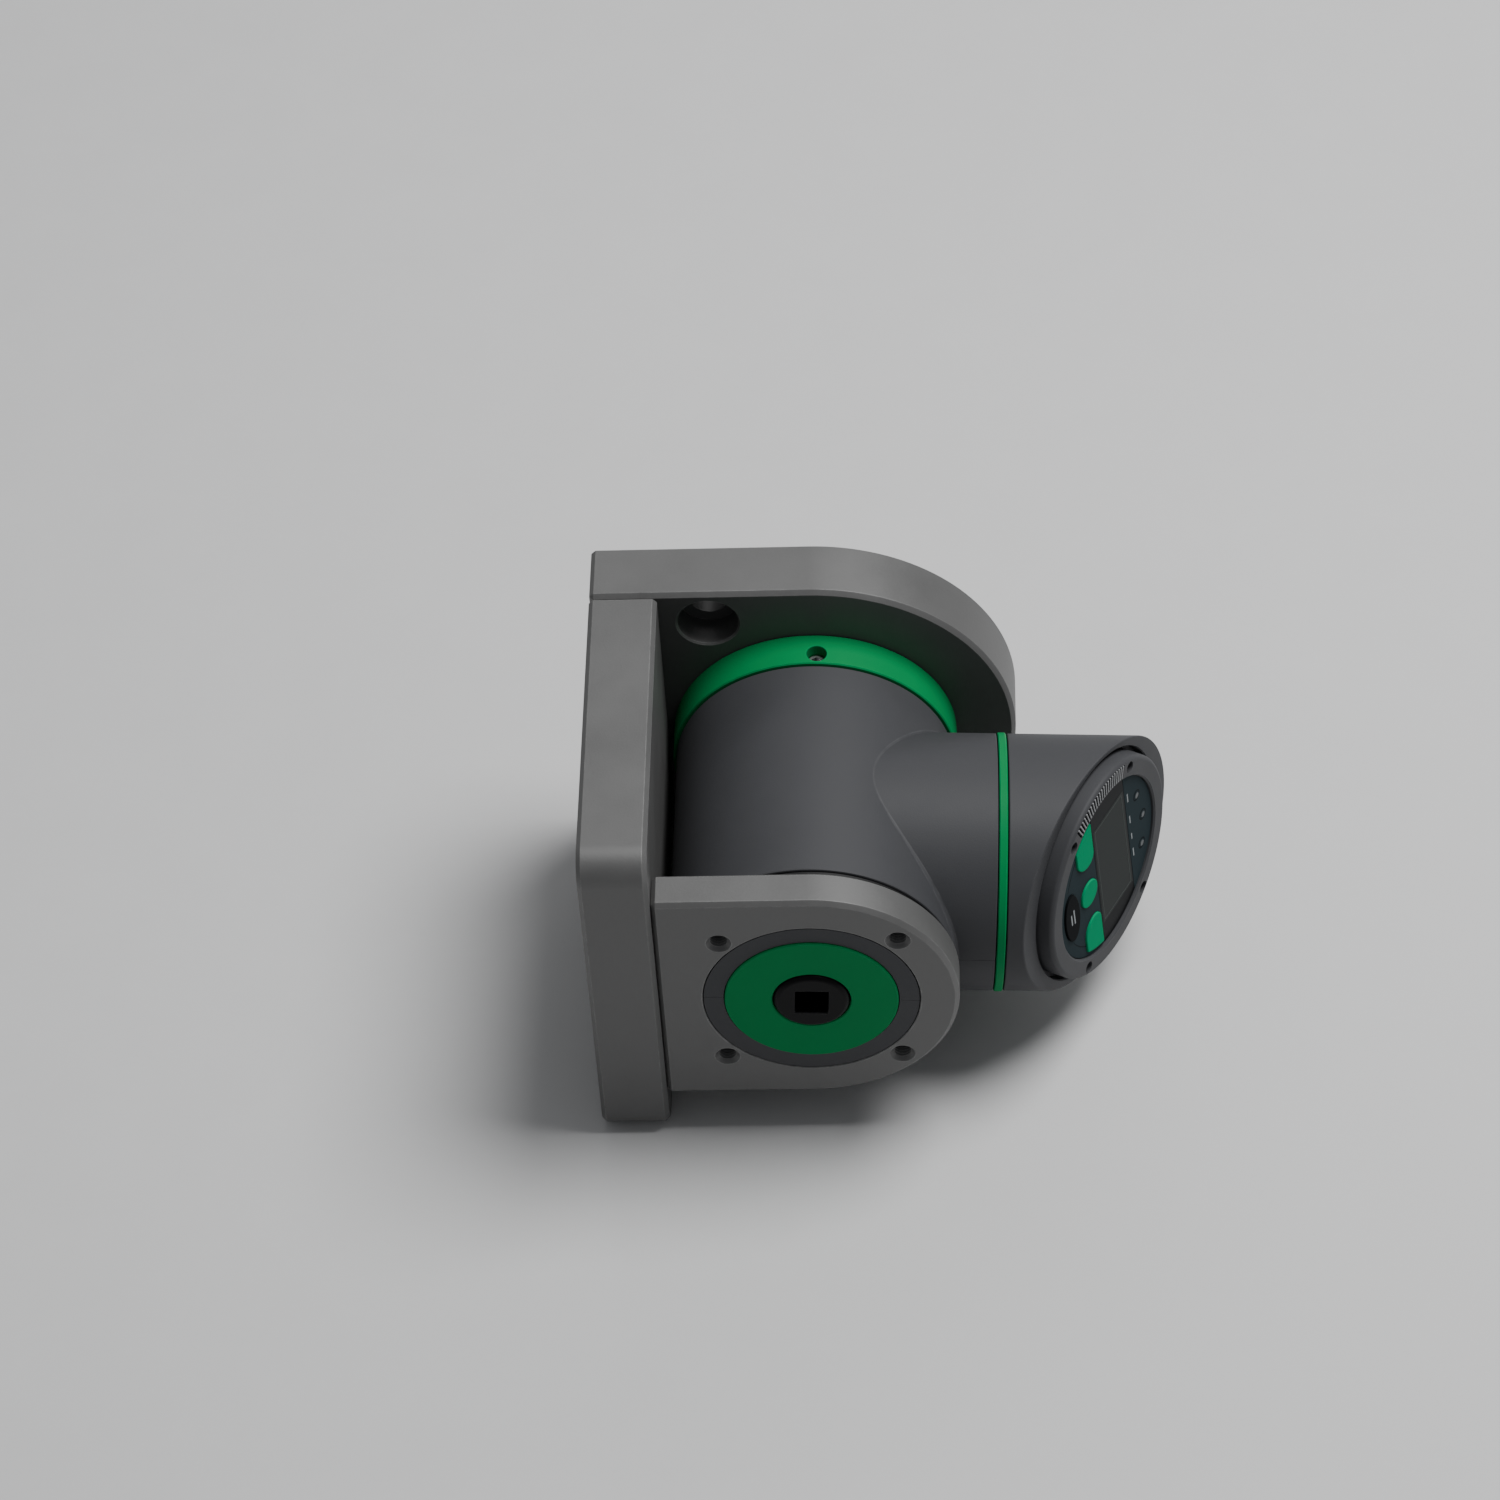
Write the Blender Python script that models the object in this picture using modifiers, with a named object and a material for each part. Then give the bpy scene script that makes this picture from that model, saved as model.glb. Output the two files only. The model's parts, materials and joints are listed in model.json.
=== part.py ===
"""Torque wrench tester: a steel bracket, a torsion transducer and a turning housing with a display head.

Units are metres and +Z is up. The tester lies on the long edges of its two big plates. Its drive
socket faces -Y and its neck points along +X. The origin is at the middle of its box, on the ground.

Bracket pieces are placed from the hub axis, which runs along Y. Housing pieces hang on an empty on
that axis, head pieces on an empty on the neck axis, and face pieces on an empty in the slanted face.
"""

import math

import bmesh
import bpy
from mathutils import Euler, Matrix, Vector

# ---------------------------------------------------------------- clearances and roundness
GAP = 0.0003
OVERCUT = 0.010
SHORT_OVERCUT = 0.002
STEP_OVERLAP = 0.001
FAR = 0.150
EDGE_ANGLE = math.radians(40)
FLAT_ANGLE = 0.002
WELD_DISTANCE = 0.000001
TURN_WELD_DISTANCE = 0.00001
ROUND_LARGE = 40
ROUND_MEDIUM = 32
ROUND_FINE = 24
ROUND_SMALL = 12
ROUND_TINY = 8

# ---------------------------------------------------------------- bracket
SIDE_THICK = 0.020
SIDE_HALF_HEIGHT = 0.060
SIDE_LEAD = 0.001
SIDE_CORNER = 0.009
SIDE_CLEARANCE = 0.0017
BACK_THICK = 0.020
ARM_THICK = 0.012
ARM_OVERHANG = 0.0012
PLATE_BEVEL = 0.0013

ARM_HOLE_MARGIN = 0.002
ARM_HOLE_R = 0.003
MOUNT_HOLE_X = -0.0297
MOUNT_HOLE_Z = 0.0478
MOUNT_HOLE_R = 0.0055
MOUNT_BORE_R = 0.009
MOUNT_BORE_DEPTH = 0.010

PLATE_SCREW_R = 0.004
PLATE_SCREW_HEAD_R = 0.0065
PLATE_SCREW_REACH = 0.022
PLATE_SCREW_SPREAD = 0.038
ARM_SCREW_R = 0.003
ARM_SCREW_HEAD_R = 0.005
ARM_SCREW_REACH = 0.012
ARM_SCREW_SPREAD = 0.029
PIN_R = 0.003
PIN_LENGTH = 0.016
PIN_SPREAD = 0.018
HEX_SHARE = 0.85

# ---------------------------------------------------------------- drive and transducer
TRANSDUCER_TURN = math.radians(2.8)
SQUARE_SIDE = 0.00953
SQUARE_DEPTH = 0.0112
HUB_R = 0.011
HUB_PROUD = 0.0013
HUB_LENGTH = 0.0166
HUB_ROUNDING = 0.0016
DISC_R = 0.0250
DISC_PROUD = 0.0004
DISC_THICK = 0.0034
JOURNAL_CLEARANCE = 0.0004
JOURNAL_END_Y = 0.0170
SHOULDER_R = 0.0150
TORSION_R = 0.0090
TORSION_START_Y = 0.0280
SHOULDER_LENGTH = 0.0123
FOOT_THICK = 0.0084
FLANGE_R = 0.0311
SPIGOT_R = 0.0140
SPIGOT_LENGTH = 0.006
GAUGE_SIZE = (0.0070, 0.0120, 0.0004)
FLANGE_SCREW_REACH = 0.0075
FLANGE_SCREW_R = 0.003
FLANGE_SCREW_HEAD_R = 0.005
FLANGE_SCREW_MARGIN = 0.0071

# ---------------------------------------------------------------- housing
HOUSING_TURN = math.radians(2.8)
BARREL_R = 0.0413
WASHER_THICK = 0.0010
WASHER_INSET = 0.0006
COLLAR_WALL = 0.0060
WALL = 0.0025
END_WALL = 0.0030
NECK_R = 0.0377
NECK_SHOULDER = 0.00155
NECK_SHIFT = 0.00025
NECK_REACH = 0.0116
RING_PROUD = 0.0010
RING_WIDTH = 0.0113
LOCK_SCREW_INSET_Y = 0.0039
LOCK_SCREW_R = 0.0027
LOCK_SCREW_SUNK = 0.0036
LOCK_HEX_ACROSS = 0.0030
LOCK_HEX_DEPTH = 0.0030
RING_SCREW_R = 0.0015
RING_SCREW_HEAD_R = 0.0027
RING_SCREW_COUNT = 3
BOSS_R = 0.0045
BOSS_MARGIN = 0.0010
BOSS_END_INSET = 0.0080
CASE_SCREW_R = 0.0015
CASE_SCREW_HEAD_R = 0.0027
CASE_SCREW_SEAT_Z = -0.0140
CASE_SCREW_TOP_Z = 0.0080
BOARD_X = -0.0240
BOARD_SIZE = (0.0016, 0.0500, 0.0360)
RIB_THICK = 0.0040
CELL_R = 0.0090
CELL_LENGTH = 0.0480
CELL_CLEARANCE = 0.0015
CELL_TIP = 0.0010
HOLDER_WALL = 0.0012
HOLDER_INSET = 0.0060
LEAD_R = 0.0013
LEAD_LANDING = 0.0165
LEAD_BEND = 0.0110

# ---------------------------------------------------------------- swivel and head
BAND_R = 0.03795
BAND_WIDTH = 0.00245
SWIVEL_R = 0.0219
SWIVEL_WALL = 0.0039
SWIVEL_FLANGE_WIDTH = 0.0051
SWIVEL_FLANGE_THICK = 0.0024
SWIVEL_LIP = 0.0009
CIRCLIP_WIDTH = 0.0021
CIRCLIP_THICK = 0.0012
CIRCLIP_GROOVE = 0.0014
CIRCLIP_GAP = math.radians(24)
HEAD_TURN = math.radians(13.3)
SLANT = math.radians(30.1)
FACE_TURN = math.radians(14.5)
HEAD_SHORT_SIDE = 0.00485
SEAT_DEPTH = 0.0033
SEAT_THICK = 0.0027
SEAT_HOLE_R = 0.0262
GROOVE_WIDTH = 0.0014
PORT_FROM_START = 0.02205
PORT_INSET = 0.0005
PORT_SIZE = (0.0090, 0.0034)
PORT_DEPTH = 0.0070
PORT_WALL = 0.0005

# ---------------------------------------------------------------- face, in the slanted plane
BEZEL_INSET = 0.0031
BEZEL_TOP = 0.0046
BEZEL_SHOULDER = 0.0026
BEZEL_LIP = 0.0006
BEZEL_SLOPE_RUN = 0.0016
BEZEL_SLOPE_DROP = 0.0003
BEZEL_INNER_R = 0.0284
LEDGE_WIDTH = 0.0010
LEDGE_HEIGHT = 0.0028
SHEET_THICK = 0.0005
KEYS_TO_BAND = 0.0008
STATUS_HEIGHT = 0.0142
BEZEL_SCREW_INSET = 0.0030
BEZEL_SCREW_ANGLE = math.radians(33.0)
BEZEL_SCREW_HEAD_R = 0.0016
BEZEL_SCREW_R = 0.0010
BEZEL_SCREW_SEAT = -0.0010
LCD_SIDE_MARGIN = 0.0059
LCD_EDGE = 0.00045
LCD_THICK = 0.0026
BOARD_THICK = 0.0016
BOARD_DEPTH = 0.0010
DOME_SHEET_MARGIN = 0.0054
DOME_SHEET_Y = -0.0035
DOME_R = 0.0022
KEY_PROUD = 0.0006
KEY_FOOT = 0.0012
KEY_TRAVEL = 0.0005
OUTER_KEY_INNER_X = 0.0110
KEY_RIM_INSET = 0.0014
OUTER_KEY_CORNER = 0.0036
OUTER_KEY_HEIGHT = 0.0094
CENTRE_KEY_RADII = (0.0045, 0.0046)
POWER_KEY_RADII = (0.0094, 0.0042)
POWER_KEY_MARGIN = 0.0023
POWER_TO_KEYS = 0.0016
LED_R = 0.0010
LED_PROUD = 0.0002
LED_SIDE_X = 0.0105
LED_SIDE_DROP = 0.0075
LED_TOP_DROP = 0.0053
BUZZER_R = 0.0060
BUZZER_THICK = 0.0035

# ---------------------------------------------------------------- places that follow from the sizes above
HOUSING_START_Y = ARM_THICK + GAP + WASHER_THICK + GAP
BARREL_END_Y = HOUSING_START_Y + 2 * (NECK_R + NECK_SHOULDER)
RING_START_Y = BARREL_END_Y + GAP
RING_END_Y = RING_START_Y + RING_WIDTH
BACK_FACE_Y = RING_END_Y + GAP
LOCK_SCREW_Y = RING_START_Y + LOCK_SCREW_INSET_Y
NECK_Y = (HOUSING_START_Y + BARREL_END_Y) / 2 + NECK_SHIFT
NECK_END_X = BARREL_R + NECK_REACH
RING_R = BARREL_R + RING_PROUD
RING_SCREW_CIRCLE = (FLANGE_R + BARREL_R) / 2
ARM_HALF_HEIGHT = BARREL_R + ARM_OVERHANG
HUB_TO_SIDE = RING_R + SIDE_CLEARANCE + SIDE_THICK
COLLAR_R = DISC_R + COLLAR_WALL
ARM_HOLE_CIRCLE = COLLAR_R + ARM_HOLE_MARGIN + ARM_HOLE_R
FLANGE_SCREW_CIRCLE = FLANGE_R - FLANGE_SCREW_MARGIN
JOURNAL_R = DISC_R - JOURNAL_CLEARANCE
BOSS_X = DISC_R + BOSS_R + BOSS_MARGIN
CELL_X = SHOULDER_R + CELL_R + CELL_CLEARANCE
BAND_START_X = NECK_END_X + GAP
HEAD_START_X = BAND_START_X + BAND_WIDTH + GAP
HEAD_WALL_END_X = HEAD_START_X + END_WALL
CIRCLIP_START_X = HEAD_WALL_END_X + GAP
CIRCLIP_END_X = CIRCLIP_START_X + CIRCLIP_THICK
SWIVEL_END_X = CIRCLIP_END_X + GAP + SWIVEL_LIP
SWIVEL_BORE_R = SWIVEL_R - SWIVEL_WALL
SWIVEL_FLANGE_R = SWIVEL_R + SWIVEL_FLANGE_WIDTH
CIRCLIP_R = SWIVEL_R + CIRCLIP_WIDTH
FACE_X = HEAD_START_X + HEAD_SHORT_SIDE + NECK_R * math.tan(SLANT)
PORT_X = HEAD_START_X + PORT_FROM_START
BEZEL_R = NECK_R - BEZEL_INSET
POCKET_R = BEZEL_R + GROOVE_WIDTH
BEZEL_SCREW_CIRCLE = BEZEL_R - BEZEL_SCREW_INSET
LEDGE_R = BEZEL_INNER_R - LEDGE_WIDTH
SHEET_R = BEZEL_INNER_R - GAP
KEY_RIM_R = SHEET_R - KEY_RIM_INSET
POWER_KEY_Y = POWER_KEY_MARGIN + POWER_KEY_RADII[1] - SHEET_R
OUTER_KEY_LOW_Y = POWER_KEY_Y + POWER_KEY_RADII[1] + POWER_TO_KEYS
OUTER_KEY_HIGH_Y = OUTER_KEY_LOW_Y + OUTER_KEY_HEIGHT
CENTRE_KEY_Y = (OUTER_KEY_LOW_Y + OUTER_KEY_HIGH_Y) / 2
BAND_LOW = OUTER_KEY_HIGH_Y + KEYS_TO_BAND
BAND_HIGH = SHEET_R - STATUS_HEIGHT
DOME_SHEET_R = LEDGE_R - DOME_SHEET_MARGIN
LED_SIDE_Y = SHEET_R - LED_SIDE_DROP
LED_PLACES = ((-LED_SIDE_X, LED_SIDE_Y), (0.0, SHEET_R - LED_TOP_DROP), (LED_SIDE_X, LED_SIDE_Y))
SHEET_LOW = LEDGE_HEIGHT + GAP
SHEET_TOP = SHEET_LOW + SHEET_THICK

ALONG_Y = (-math.pi / 2, 0.0, 0.0)
ALONG_X = (0.0, math.pi / 2, 0.0)
FRONT_OUTLINE = (math.pi / 2, 0.0, 0.0)
SIDE_OUTLINE = (math.pi / 2, 0.0, math.pi / 2)


# ---------------------------------------------------------------- scene and materials
def clear_scene():
    for item in list(bpy.data.objects):
        bpy.data.objects.remove(item, do_unlink=True)


def add_collection(name):
    group = bpy.data.collections.new(name)
    bpy.context.scene.collection.children.link(group)
    return group


def add_material(name, colour, roughness, metallic):
    material = bpy.data.materials.new(name)
    material.use_nodes = True
    shader = material.node_tree.nodes["Principled BSDF"]
    shader.inputs["Base Color"].default_value = (*colour, 1.0)
    shader.inputs["Roughness"].default_value = roughness
    shader.inputs["Metallic"].default_value = metallic
    material.diffuse_color = (*colour, 1.0)
    return material


clear_scene()
PARTS = add_collection("torque_tester")
CUTTERS = add_collection("cutters")
MATERIALS = {
    "plate_steel": add_material("plate_steel", (0.17, 0.17, 0.165), 0.5, 0.9),
    "case_plastic": add_material("case_plastic", (0.075, 0.077, 0.082), 0.6, 0.0),
    "green_finish": add_material("green_finish", (0.0, 0.21, 0.09), 0.45, 0.2),
    "black_steel": add_material("black_steel", (0.012, 0.012, 0.013), 0.35, 0.6),
    "bright_steel": add_material("bright_steel", (0.42, 0.42, 0.43), 0.35, 1.0),
    "slide_plastic": add_material("slide_plastic", (0.02, 0.02, 0.022), 0.5, 0.0),
    "board_green": add_material("board_green", (0.02, 0.13, 0.05), 0.5, 0.0),
    "cell_wrap": add_material("cell_wrap", (0.05, 0.12, 0.32), 0.4, 0.0),
    "lead_rubber": add_material("lead_rubber", (0.03, 0.03, 0.03), 0.6, 0.0),
    "sheet_grey": add_material("sheet_grey", (0.040, 0.062, 0.072), 0.45, 0.0),
    "window_glass": add_material("window_glass", (0.010, 0.012, 0.012), 0.12, 0.0),
    "display_grey": add_material("display_grey", (0.05, 0.06, 0.055), 0.3, 0.0),
    "key_green": add_material("key_green", (0.0, 0.30, 0.14), 0.45, 0.0),
    "key_black": add_material("key_black", (0.012, 0.012, 0.014), 0.45, 0.0),
    "led_clear": add_material("led_clear", (0.05, 0.07, 0.08), 0.25, 0.0),
    "gauge_foil": add_material("gauge_foil", (0.55, 0.33, 0.08), 0.4, 0.0),
}


# ---------------------------------------------------------------- objects
def add_empty(name, parent=None, location=(0.0, 0.0, 0.0), rotation=(0.0, 0.0, 0.0)):
    empty = bpy.data.objects.new(name, None)
    CUTTERS.objects.link(empty)
    empty.parent = parent
    empty.location = location
    empty.rotation_euler = rotation
    return empty


def add_part(name, mesh, material, parent, rotation=(0.0, 0.0, 0.0), location=(0.0, 0.0, 0.0)):
    """A visible piece. With no material it's a cutter, which isn't part of the model."""
    piece = bpy.data.objects.new(name, mesh)
    piece.parent = parent
    piece.rotation_euler = rotation
    piece.location = location
    if material is None:
        CUTTERS.objects.link(piece)
        piece.hide_render = True
        piece.display_type = "WIRE"
    else:
        PARTS.objects.link(piece)
        mesh.materials.append(MATERIALS[material])
    return piece


def boolean(target, tool, operation="DIFFERENCE"):
    modifier = target.modifiers.new(f"{operation.lower()}_{tool.name}", "BOOLEAN")
    modifier.operation = operation
    modifier.object = tool
    modifier.solver = "EXACT"


def bevel(target, width):
    modifier = target.modifiers.new("edges", "BEVEL")
    modifier.width = width
    modifier.segments = 1
    modifier.limit_method = "ANGLE"
    modifier.angle_limit = EDGE_ANGLE


# ---------------------------------------------------------------- meshes
def mesh_of(name, shape):
    mesh = bpy.data.meshes.new(name)
    shape.to_mesh(mesh)
    shape.free()
    return mesh


def add_rod(shape, radius, low, high, segments, centre=(0.0, 0.0)):
    """A cylinder along local Z from low to high, added to a bmesh."""
    place = Matrix.Translation((centre[0], centre[1], (low + high) / 2))
    bmesh.ops.create_cone(
        shape,
        cap_ends=True,
        segments=segments,
        radius1=radius,
        radius2=radius,
        depth=high - low,
        matrix=place,
    )


def rod_mesh(name, radius, low, high, segments, centre=(0.0, 0.0)):
    shape = bmesh.new()
    add_rod(shape, radius, low, high, segments, centre)
    return mesh_of(name, shape)


def add_box(shape, low, high, turn=0.0):
    """A box from corner low to corner high, turned about local Z, added to a bmesh."""
    size = [b - a for a, b in zip(low, high)]
    middle = [(a + b) / 2 for a, b in zip(low, high)]
    place = Matrix.Rotation(turn, 4, "Z") @ Matrix.Translation(middle) @ Matrix.Diagonal((*size, 1.0))
    bmesh.ops.create_cube(shape, size=1.0, matrix=place)


def box_mesh(name, low, high):
    shape = bmesh.new()
    add_box(shape, low, high)
    return mesh_of(name, shape)


def arc(centre, radius, start, end, steps):
    """Points along an arc, both ends included."""
    angles = [start + (end - start) * i / steps for i in range(steps + 1)]
    return [(centre[0] + radius * math.cos(a), centre[1] + radius * math.sin(a)) for a in angles]


def ellipse(centre, radii, steps):
    angles = [2 * math.pi * i / steps for i in range(steps)]
    return [(centre[0] + radii[0] * math.cos(a), centre[1] + radii[1] * math.sin(a)) for a in angles]


def outline_mesh(name, outline, low, high):
    """A flat outline in local XY, thickened from low to high along local Z."""
    curve = bpy.data.curves.new(name, "CURVE")
    curve.dimensions = "2D"
    curve.fill_mode = "BOTH"
    curve.extrude = (high - low) / 2
    spline = curve.splines.new("POLY")
    spline.points.add(len(outline) - 1)
    for point, (x, y) in zip(spline.points, outline):
        point.co = (x, y, 0.0, 1.0)
    spline.use_cyclic_u = True
    holder = bpy.data.objects.new(name, curve)
    CUTTERS.objects.link(holder)
    graph = bpy.context.evaluated_depsgraph_get()
    mesh = bpy.data.meshes.new_from_object(holder.evaluated_get(graph))
    bpy.data.objects.remove(holder, do_unlink=True)
    shape = bmesh.new()
    shape.from_mesh(mesh)
    bmesh.ops.remove_doubles(shape, verts=shape.verts, dist=WELD_DISTANCE)
    bmesh.ops.dissolve_limit(shape, angle_limit=FLAT_ANGLE, verts=shape.verts, edges=shape.edges)
    bmesh.ops.translate(shape, verts=shape.verts, vec=(0.0, 0.0, (low + high) / 2))
    bmesh.ops.recalc_face_normals(shape, faces=shape.faces)
    shape.to_mesh(mesh)
    shape.free()
    return mesh


def turned(name, profile, material, parent, rotation, segments, closed=True, location=(0.0, 0.0, 0.0)):
    """A profile of (radius, height) points turned about local Z with a Screw modifier.

    A ring's profile is a closed loop. A solid piece's profile is open, and both its ends are on the axis.
    """
    loop = list(zip(profile, profile[1:] + profile[:1]))
    area = sum(a[0] * b[1] - b[0] * a[1] for a, b in loop)
    points = profile if area < 0 else profile[::-1]
    mesh = bpy.data.meshes.new(name)
    shape = bmesh.new()
    corners = [shape.verts.new((radius, 0.0, height)) for radius, height in points]
    for first, second in zip(corners, corners[1:]):
        shape.edges.new((first, second))
    if closed:
        shape.edges.new((corners[-1], corners[0]))
    shape.to_mesh(mesh)
    shape.free()
    piece = add_part(name, mesh, material, parent, rotation, location)
    screw = piece.modifiers.new("turn", "SCREW")
    screw.steps = segments
    screw.render_steps = segments
    screw.use_merge_vertices = True
    screw.merge_threshold = TURN_WELD_DISTANCE
    screw.use_smooth_shade = True
    return piece


def ring_profile(inner, outer, low, high):
    """A plain ring's section."""
    return [(outer, high), (outer, low), (inner, low), (inner, high)]


def spread_circle(radius, count, start):
    step = 2 * math.pi / count
    return [(radius * math.cos(start + i * step), radius * math.sin(start + i * step)) for i in range(count)]


def screws(name, places, sections, material, parent, rotation, segments=ROUND_SMALL):
    """Identical screws or pins along local Z, one object for each place.

    Each section is (radius, low, high), and neighbours share an end height.
    """
    profile = []
    for radius, low, high in sorted(sections, key=lambda section: -section[2]):
        profile += [(radius, high), (radius, low)]
    profile = [(0.0, profile[0][1])] + profile + [(0.0, profile[-1][1])]
    pieces = []
    for number, (x, y) in enumerate(places, start=1):
        place = Euler(rotation).to_matrix() @ Vector((x, y, 0.0))
        title = f"{name}_{number}"
        piece = turned(title, profile, material, parent, rotation, segments, closed=False, location=place)
        pieces.append(piece)
    return pieces


def holes(name, target, places, sections, rotation, parent, segments=ROUND_SMALL):
    """Cuts the same stepped hole along local Z at each place, one rod for each section."""
    for number, (radius, low, high) in enumerate(sections):
        shape = bmesh.new()
        for place in places:
            add_rod(shape, radius, low, high, segments, place)
        tool = add_part(f"cut_{name}_{number}", mesh_of(name, shape), None, parent, rotation)
        boolean(target, tool)


def hex_sockets(pieces, places, shank_radius, low, high, rotation, parent):
    """A hexagon socket from low to high along local Z in each screw's head."""
    for piece, place in zip(pieces, places):
        section = [(shank_radius * HEX_SHARE, low, high)]
        holes(piece.name, piece, [place], section, rotation, parent, 6)


# ---------------------------------------------------------------- bracket
def half_round_outline(start_x, half_height, steps):
    """A plate outline from start_x to the hub axis, ending in a half round about it."""
    tip = arc((0.0, 0.0), half_height, -math.pi / 2, math.pi / 2, steps)
    return [(start_x, half_height), (start_x, -half_height)] + tip


def side_plate(root):
    front = -SIDE_LEAD
    back = BACK_FACE_Y - GAP
    low_corner = (front + SIDE_CORNER, -SIDE_HALF_HEIGHT + SIDE_CORNER)
    high_corner = (front + SIDE_CORNER, SIDE_HALF_HEIGHT - SIDE_CORNER)
    outline = [(back, -SIDE_HALF_HEIGHT), (back, SIDE_HALF_HEIGHT)]
    outline += arc(high_corner, SIDE_CORNER, math.pi / 2, math.pi, 8)
    outline += arc(low_corner, SIDE_CORNER, math.pi, 3 * math.pi / 2, 8)
    mesh = outline_mesh("side_plate", outline, -HUB_TO_SIDE, -HUB_TO_SIDE + SIDE_THICK)
    plate = add_part("side_plate", mesh, "plate_steel", root, SIDE_OUTLINE)
    bevel(plate, PLATE_BEVEL)
    middle_x = -HUB_TO_SIDE + SIDE_THICK / 2
    deep = BACK_FACE_Y - PLATE_SCREW_REACH - GAP
    places = [(middle_x, -z) for z in (-PLATE_SCREW_SPREAD, 0.0, PLATE_SCREW_SPREAD)]
    holes("side_plate_ends", plate, places, [(PLATE_SCREW_R + GAP, deep, back + OVERCUT)], ALONG_Y, root)
    pins = [(middle_x, -z) for z in (-PIN_SPREAD, PIN_SPREAD)]
    pin_deep = BACK_FACE_Y - PIN_LENGTH / 2 - GAP
    holes("side_plate_pins", plate, pins, [(PIN_R + GAP, pin_deep, back + OVERCUT)], ALONG_Y, root)
    inner_x = -HUB_TO_SIDE + SIDE_THICK
    seat_x = -HUB_TO_SIDE + 2 * ARM_SCREW_R + GAP
    places = [(-z, ARM_THICK / 2) for z in (-ARM_SCREW_SPREAD, ARM_SCREW_SPREAD)]
    sections = [
        (ARM_SCREW_HEAD_R + GAP, -HUB_TO_SIDE - OVERCUT, seat_x),
        (ARM_SCREW_R + GAP, seat_x - STEP_OVERLAP, inner_x + OVERCUT),
    ]
    holes("side_plate_arm", plate, places, sections, ALONG_X, root)


def back_plate(root):
    outline = half_round_outline(-HUB_TO_SIDE, SIDE_HALF_HEIGHT, ROUND_LARGE // 2)
    rear = BACK_FACE_Y + BACK_THICK
    mesh = outline_mesh("back_plate", outline, -rear, -BACK_FACE_Y)
    plate = add_part("back_plate", mesh, "plate_steel", root, FRONT_OUTLINE)
    bevel(plate, PLATE_BEVEL)
    mounts = [(MOUNT_HOLE_X, MOUNT_HOLE_Z), (MOUNT_HOLE_X, -MOUNT_HOLE_Z)]
    sections = [
        (MOUNT_HOLE_R, BACK_FACE_Y - OVERCUT, rear + OVERCUT),
        (MOUNT_BORE_R, BACK_FACE_Y - OVERCUT, BACK_FACE_Y + MOUNT_BORE_DEPTH),
    ]
    holes("back_plate_mounts", plate, mounts, sections, ALONG_Y, root, ROUND_MEDIUM // 2)
    middle_x = -HUB_TO_SIDE + SIDE_THICK / 2
    places = [(middle_x, -z) for z in (-PLATE_SCREW_SPREAD, 0.0, PLATE_SCREW_SPREAD)]
    seat = rear - 2 * PLATE_SCREW_R - GAP
    sections = [
        (PLATE_SCREW_R + GAP, BACK_FACE_Y - OVERCUT, rear - STEP_OVERLAP),
        (PLATE_SCREW_HEAD_R + GAP, seat, rear + OVERCUT),
    ]
    holes("back_plate_screws", plate, places, sections, ALONG_Y, root)
    pins = [(middle_x, -z) for z in (-PIN_SPREAD, PIN_SPREAD)]
    pin_deep = BACK_FACE_Y + PIN_LENGTH / 2 + GAP
    holes("back_plate_pins", plate, pins, [(PIN_R + GAP, BACK_FACE_Y - OVERCUT, pin_deep)], ALONG_Y, root)
    seat = rear - 2 * FLANGE_SCREW_R - GAP
    sections = [
        (FLANGE_SCREW_R + GAP, BACK_FACE_Y - OVERCUT, rear - STEP_OVERLAP),
        (FLANGE_SCREW_HEAD_R + GAP, seat, rear + OVERCUT),
    ]
    places = spread_circle(FLANGE_SCREW_CIRCLE, 4, math.pi / 4)
    holes("back_plate_flange", plate, places, sections, ALONG_Y, root)
    spigot = [(SPIGOT_R + GAP, BACK_FACE_Y - OVERCUT, RING_END_Y + SPIGOT_LENGTH + GAP)]
    holes("back_plate_spigot", plate, [(0.0, 0.0)], spigot, ALONG_Y, root, ROUND_MEDIUM)


def front_arm(root):
    start_x = -HUB_TO_SIDE + SIDE_THICK + GAP
    outline = half_round_outline(start_x, ARM_HALF_HEIGHT, ROUND_LARGE // 2)
    mesh = outline_mesh("front_arm", outline, -ARM_THICK, 0.0)
    arm = add_part("front_arm", mesh, "plate_steel", root, FRONT_OUTLINE)
    bevel(arm, PLATE_BEVEL)
    bore = [(COLLAR_R + GAP, -OVERCUT, ARM_THICK + OVERCUT)]
    holes("front_arm_bore", arm, [(0.0, 0.0)], bore, ALONG_Y, root, ROUND_LARGE)
    places = spread_circle(ARM_HOLE_CIRCLE, 4, math.pi / 4)
    holes("front_arm_threads", arm, places, [(ARM_HOLE_R, -OVERCUT, ARM_THICK + OVERCUT)], ALONG_Y, root)
    reach = [(ARM_SCREW_R + GAP, start_x - OVERCUT, start_x + ARM_SCREW_REACH + GAP)]
    places = [(-z, ARM_THICK / 2) for z in (-ARM_SCREW_SPREAD, ARM_SCREW_SPREAD)]
    holes("front_arm_screws", arm, places, reach, ALONG_X, root)


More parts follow.
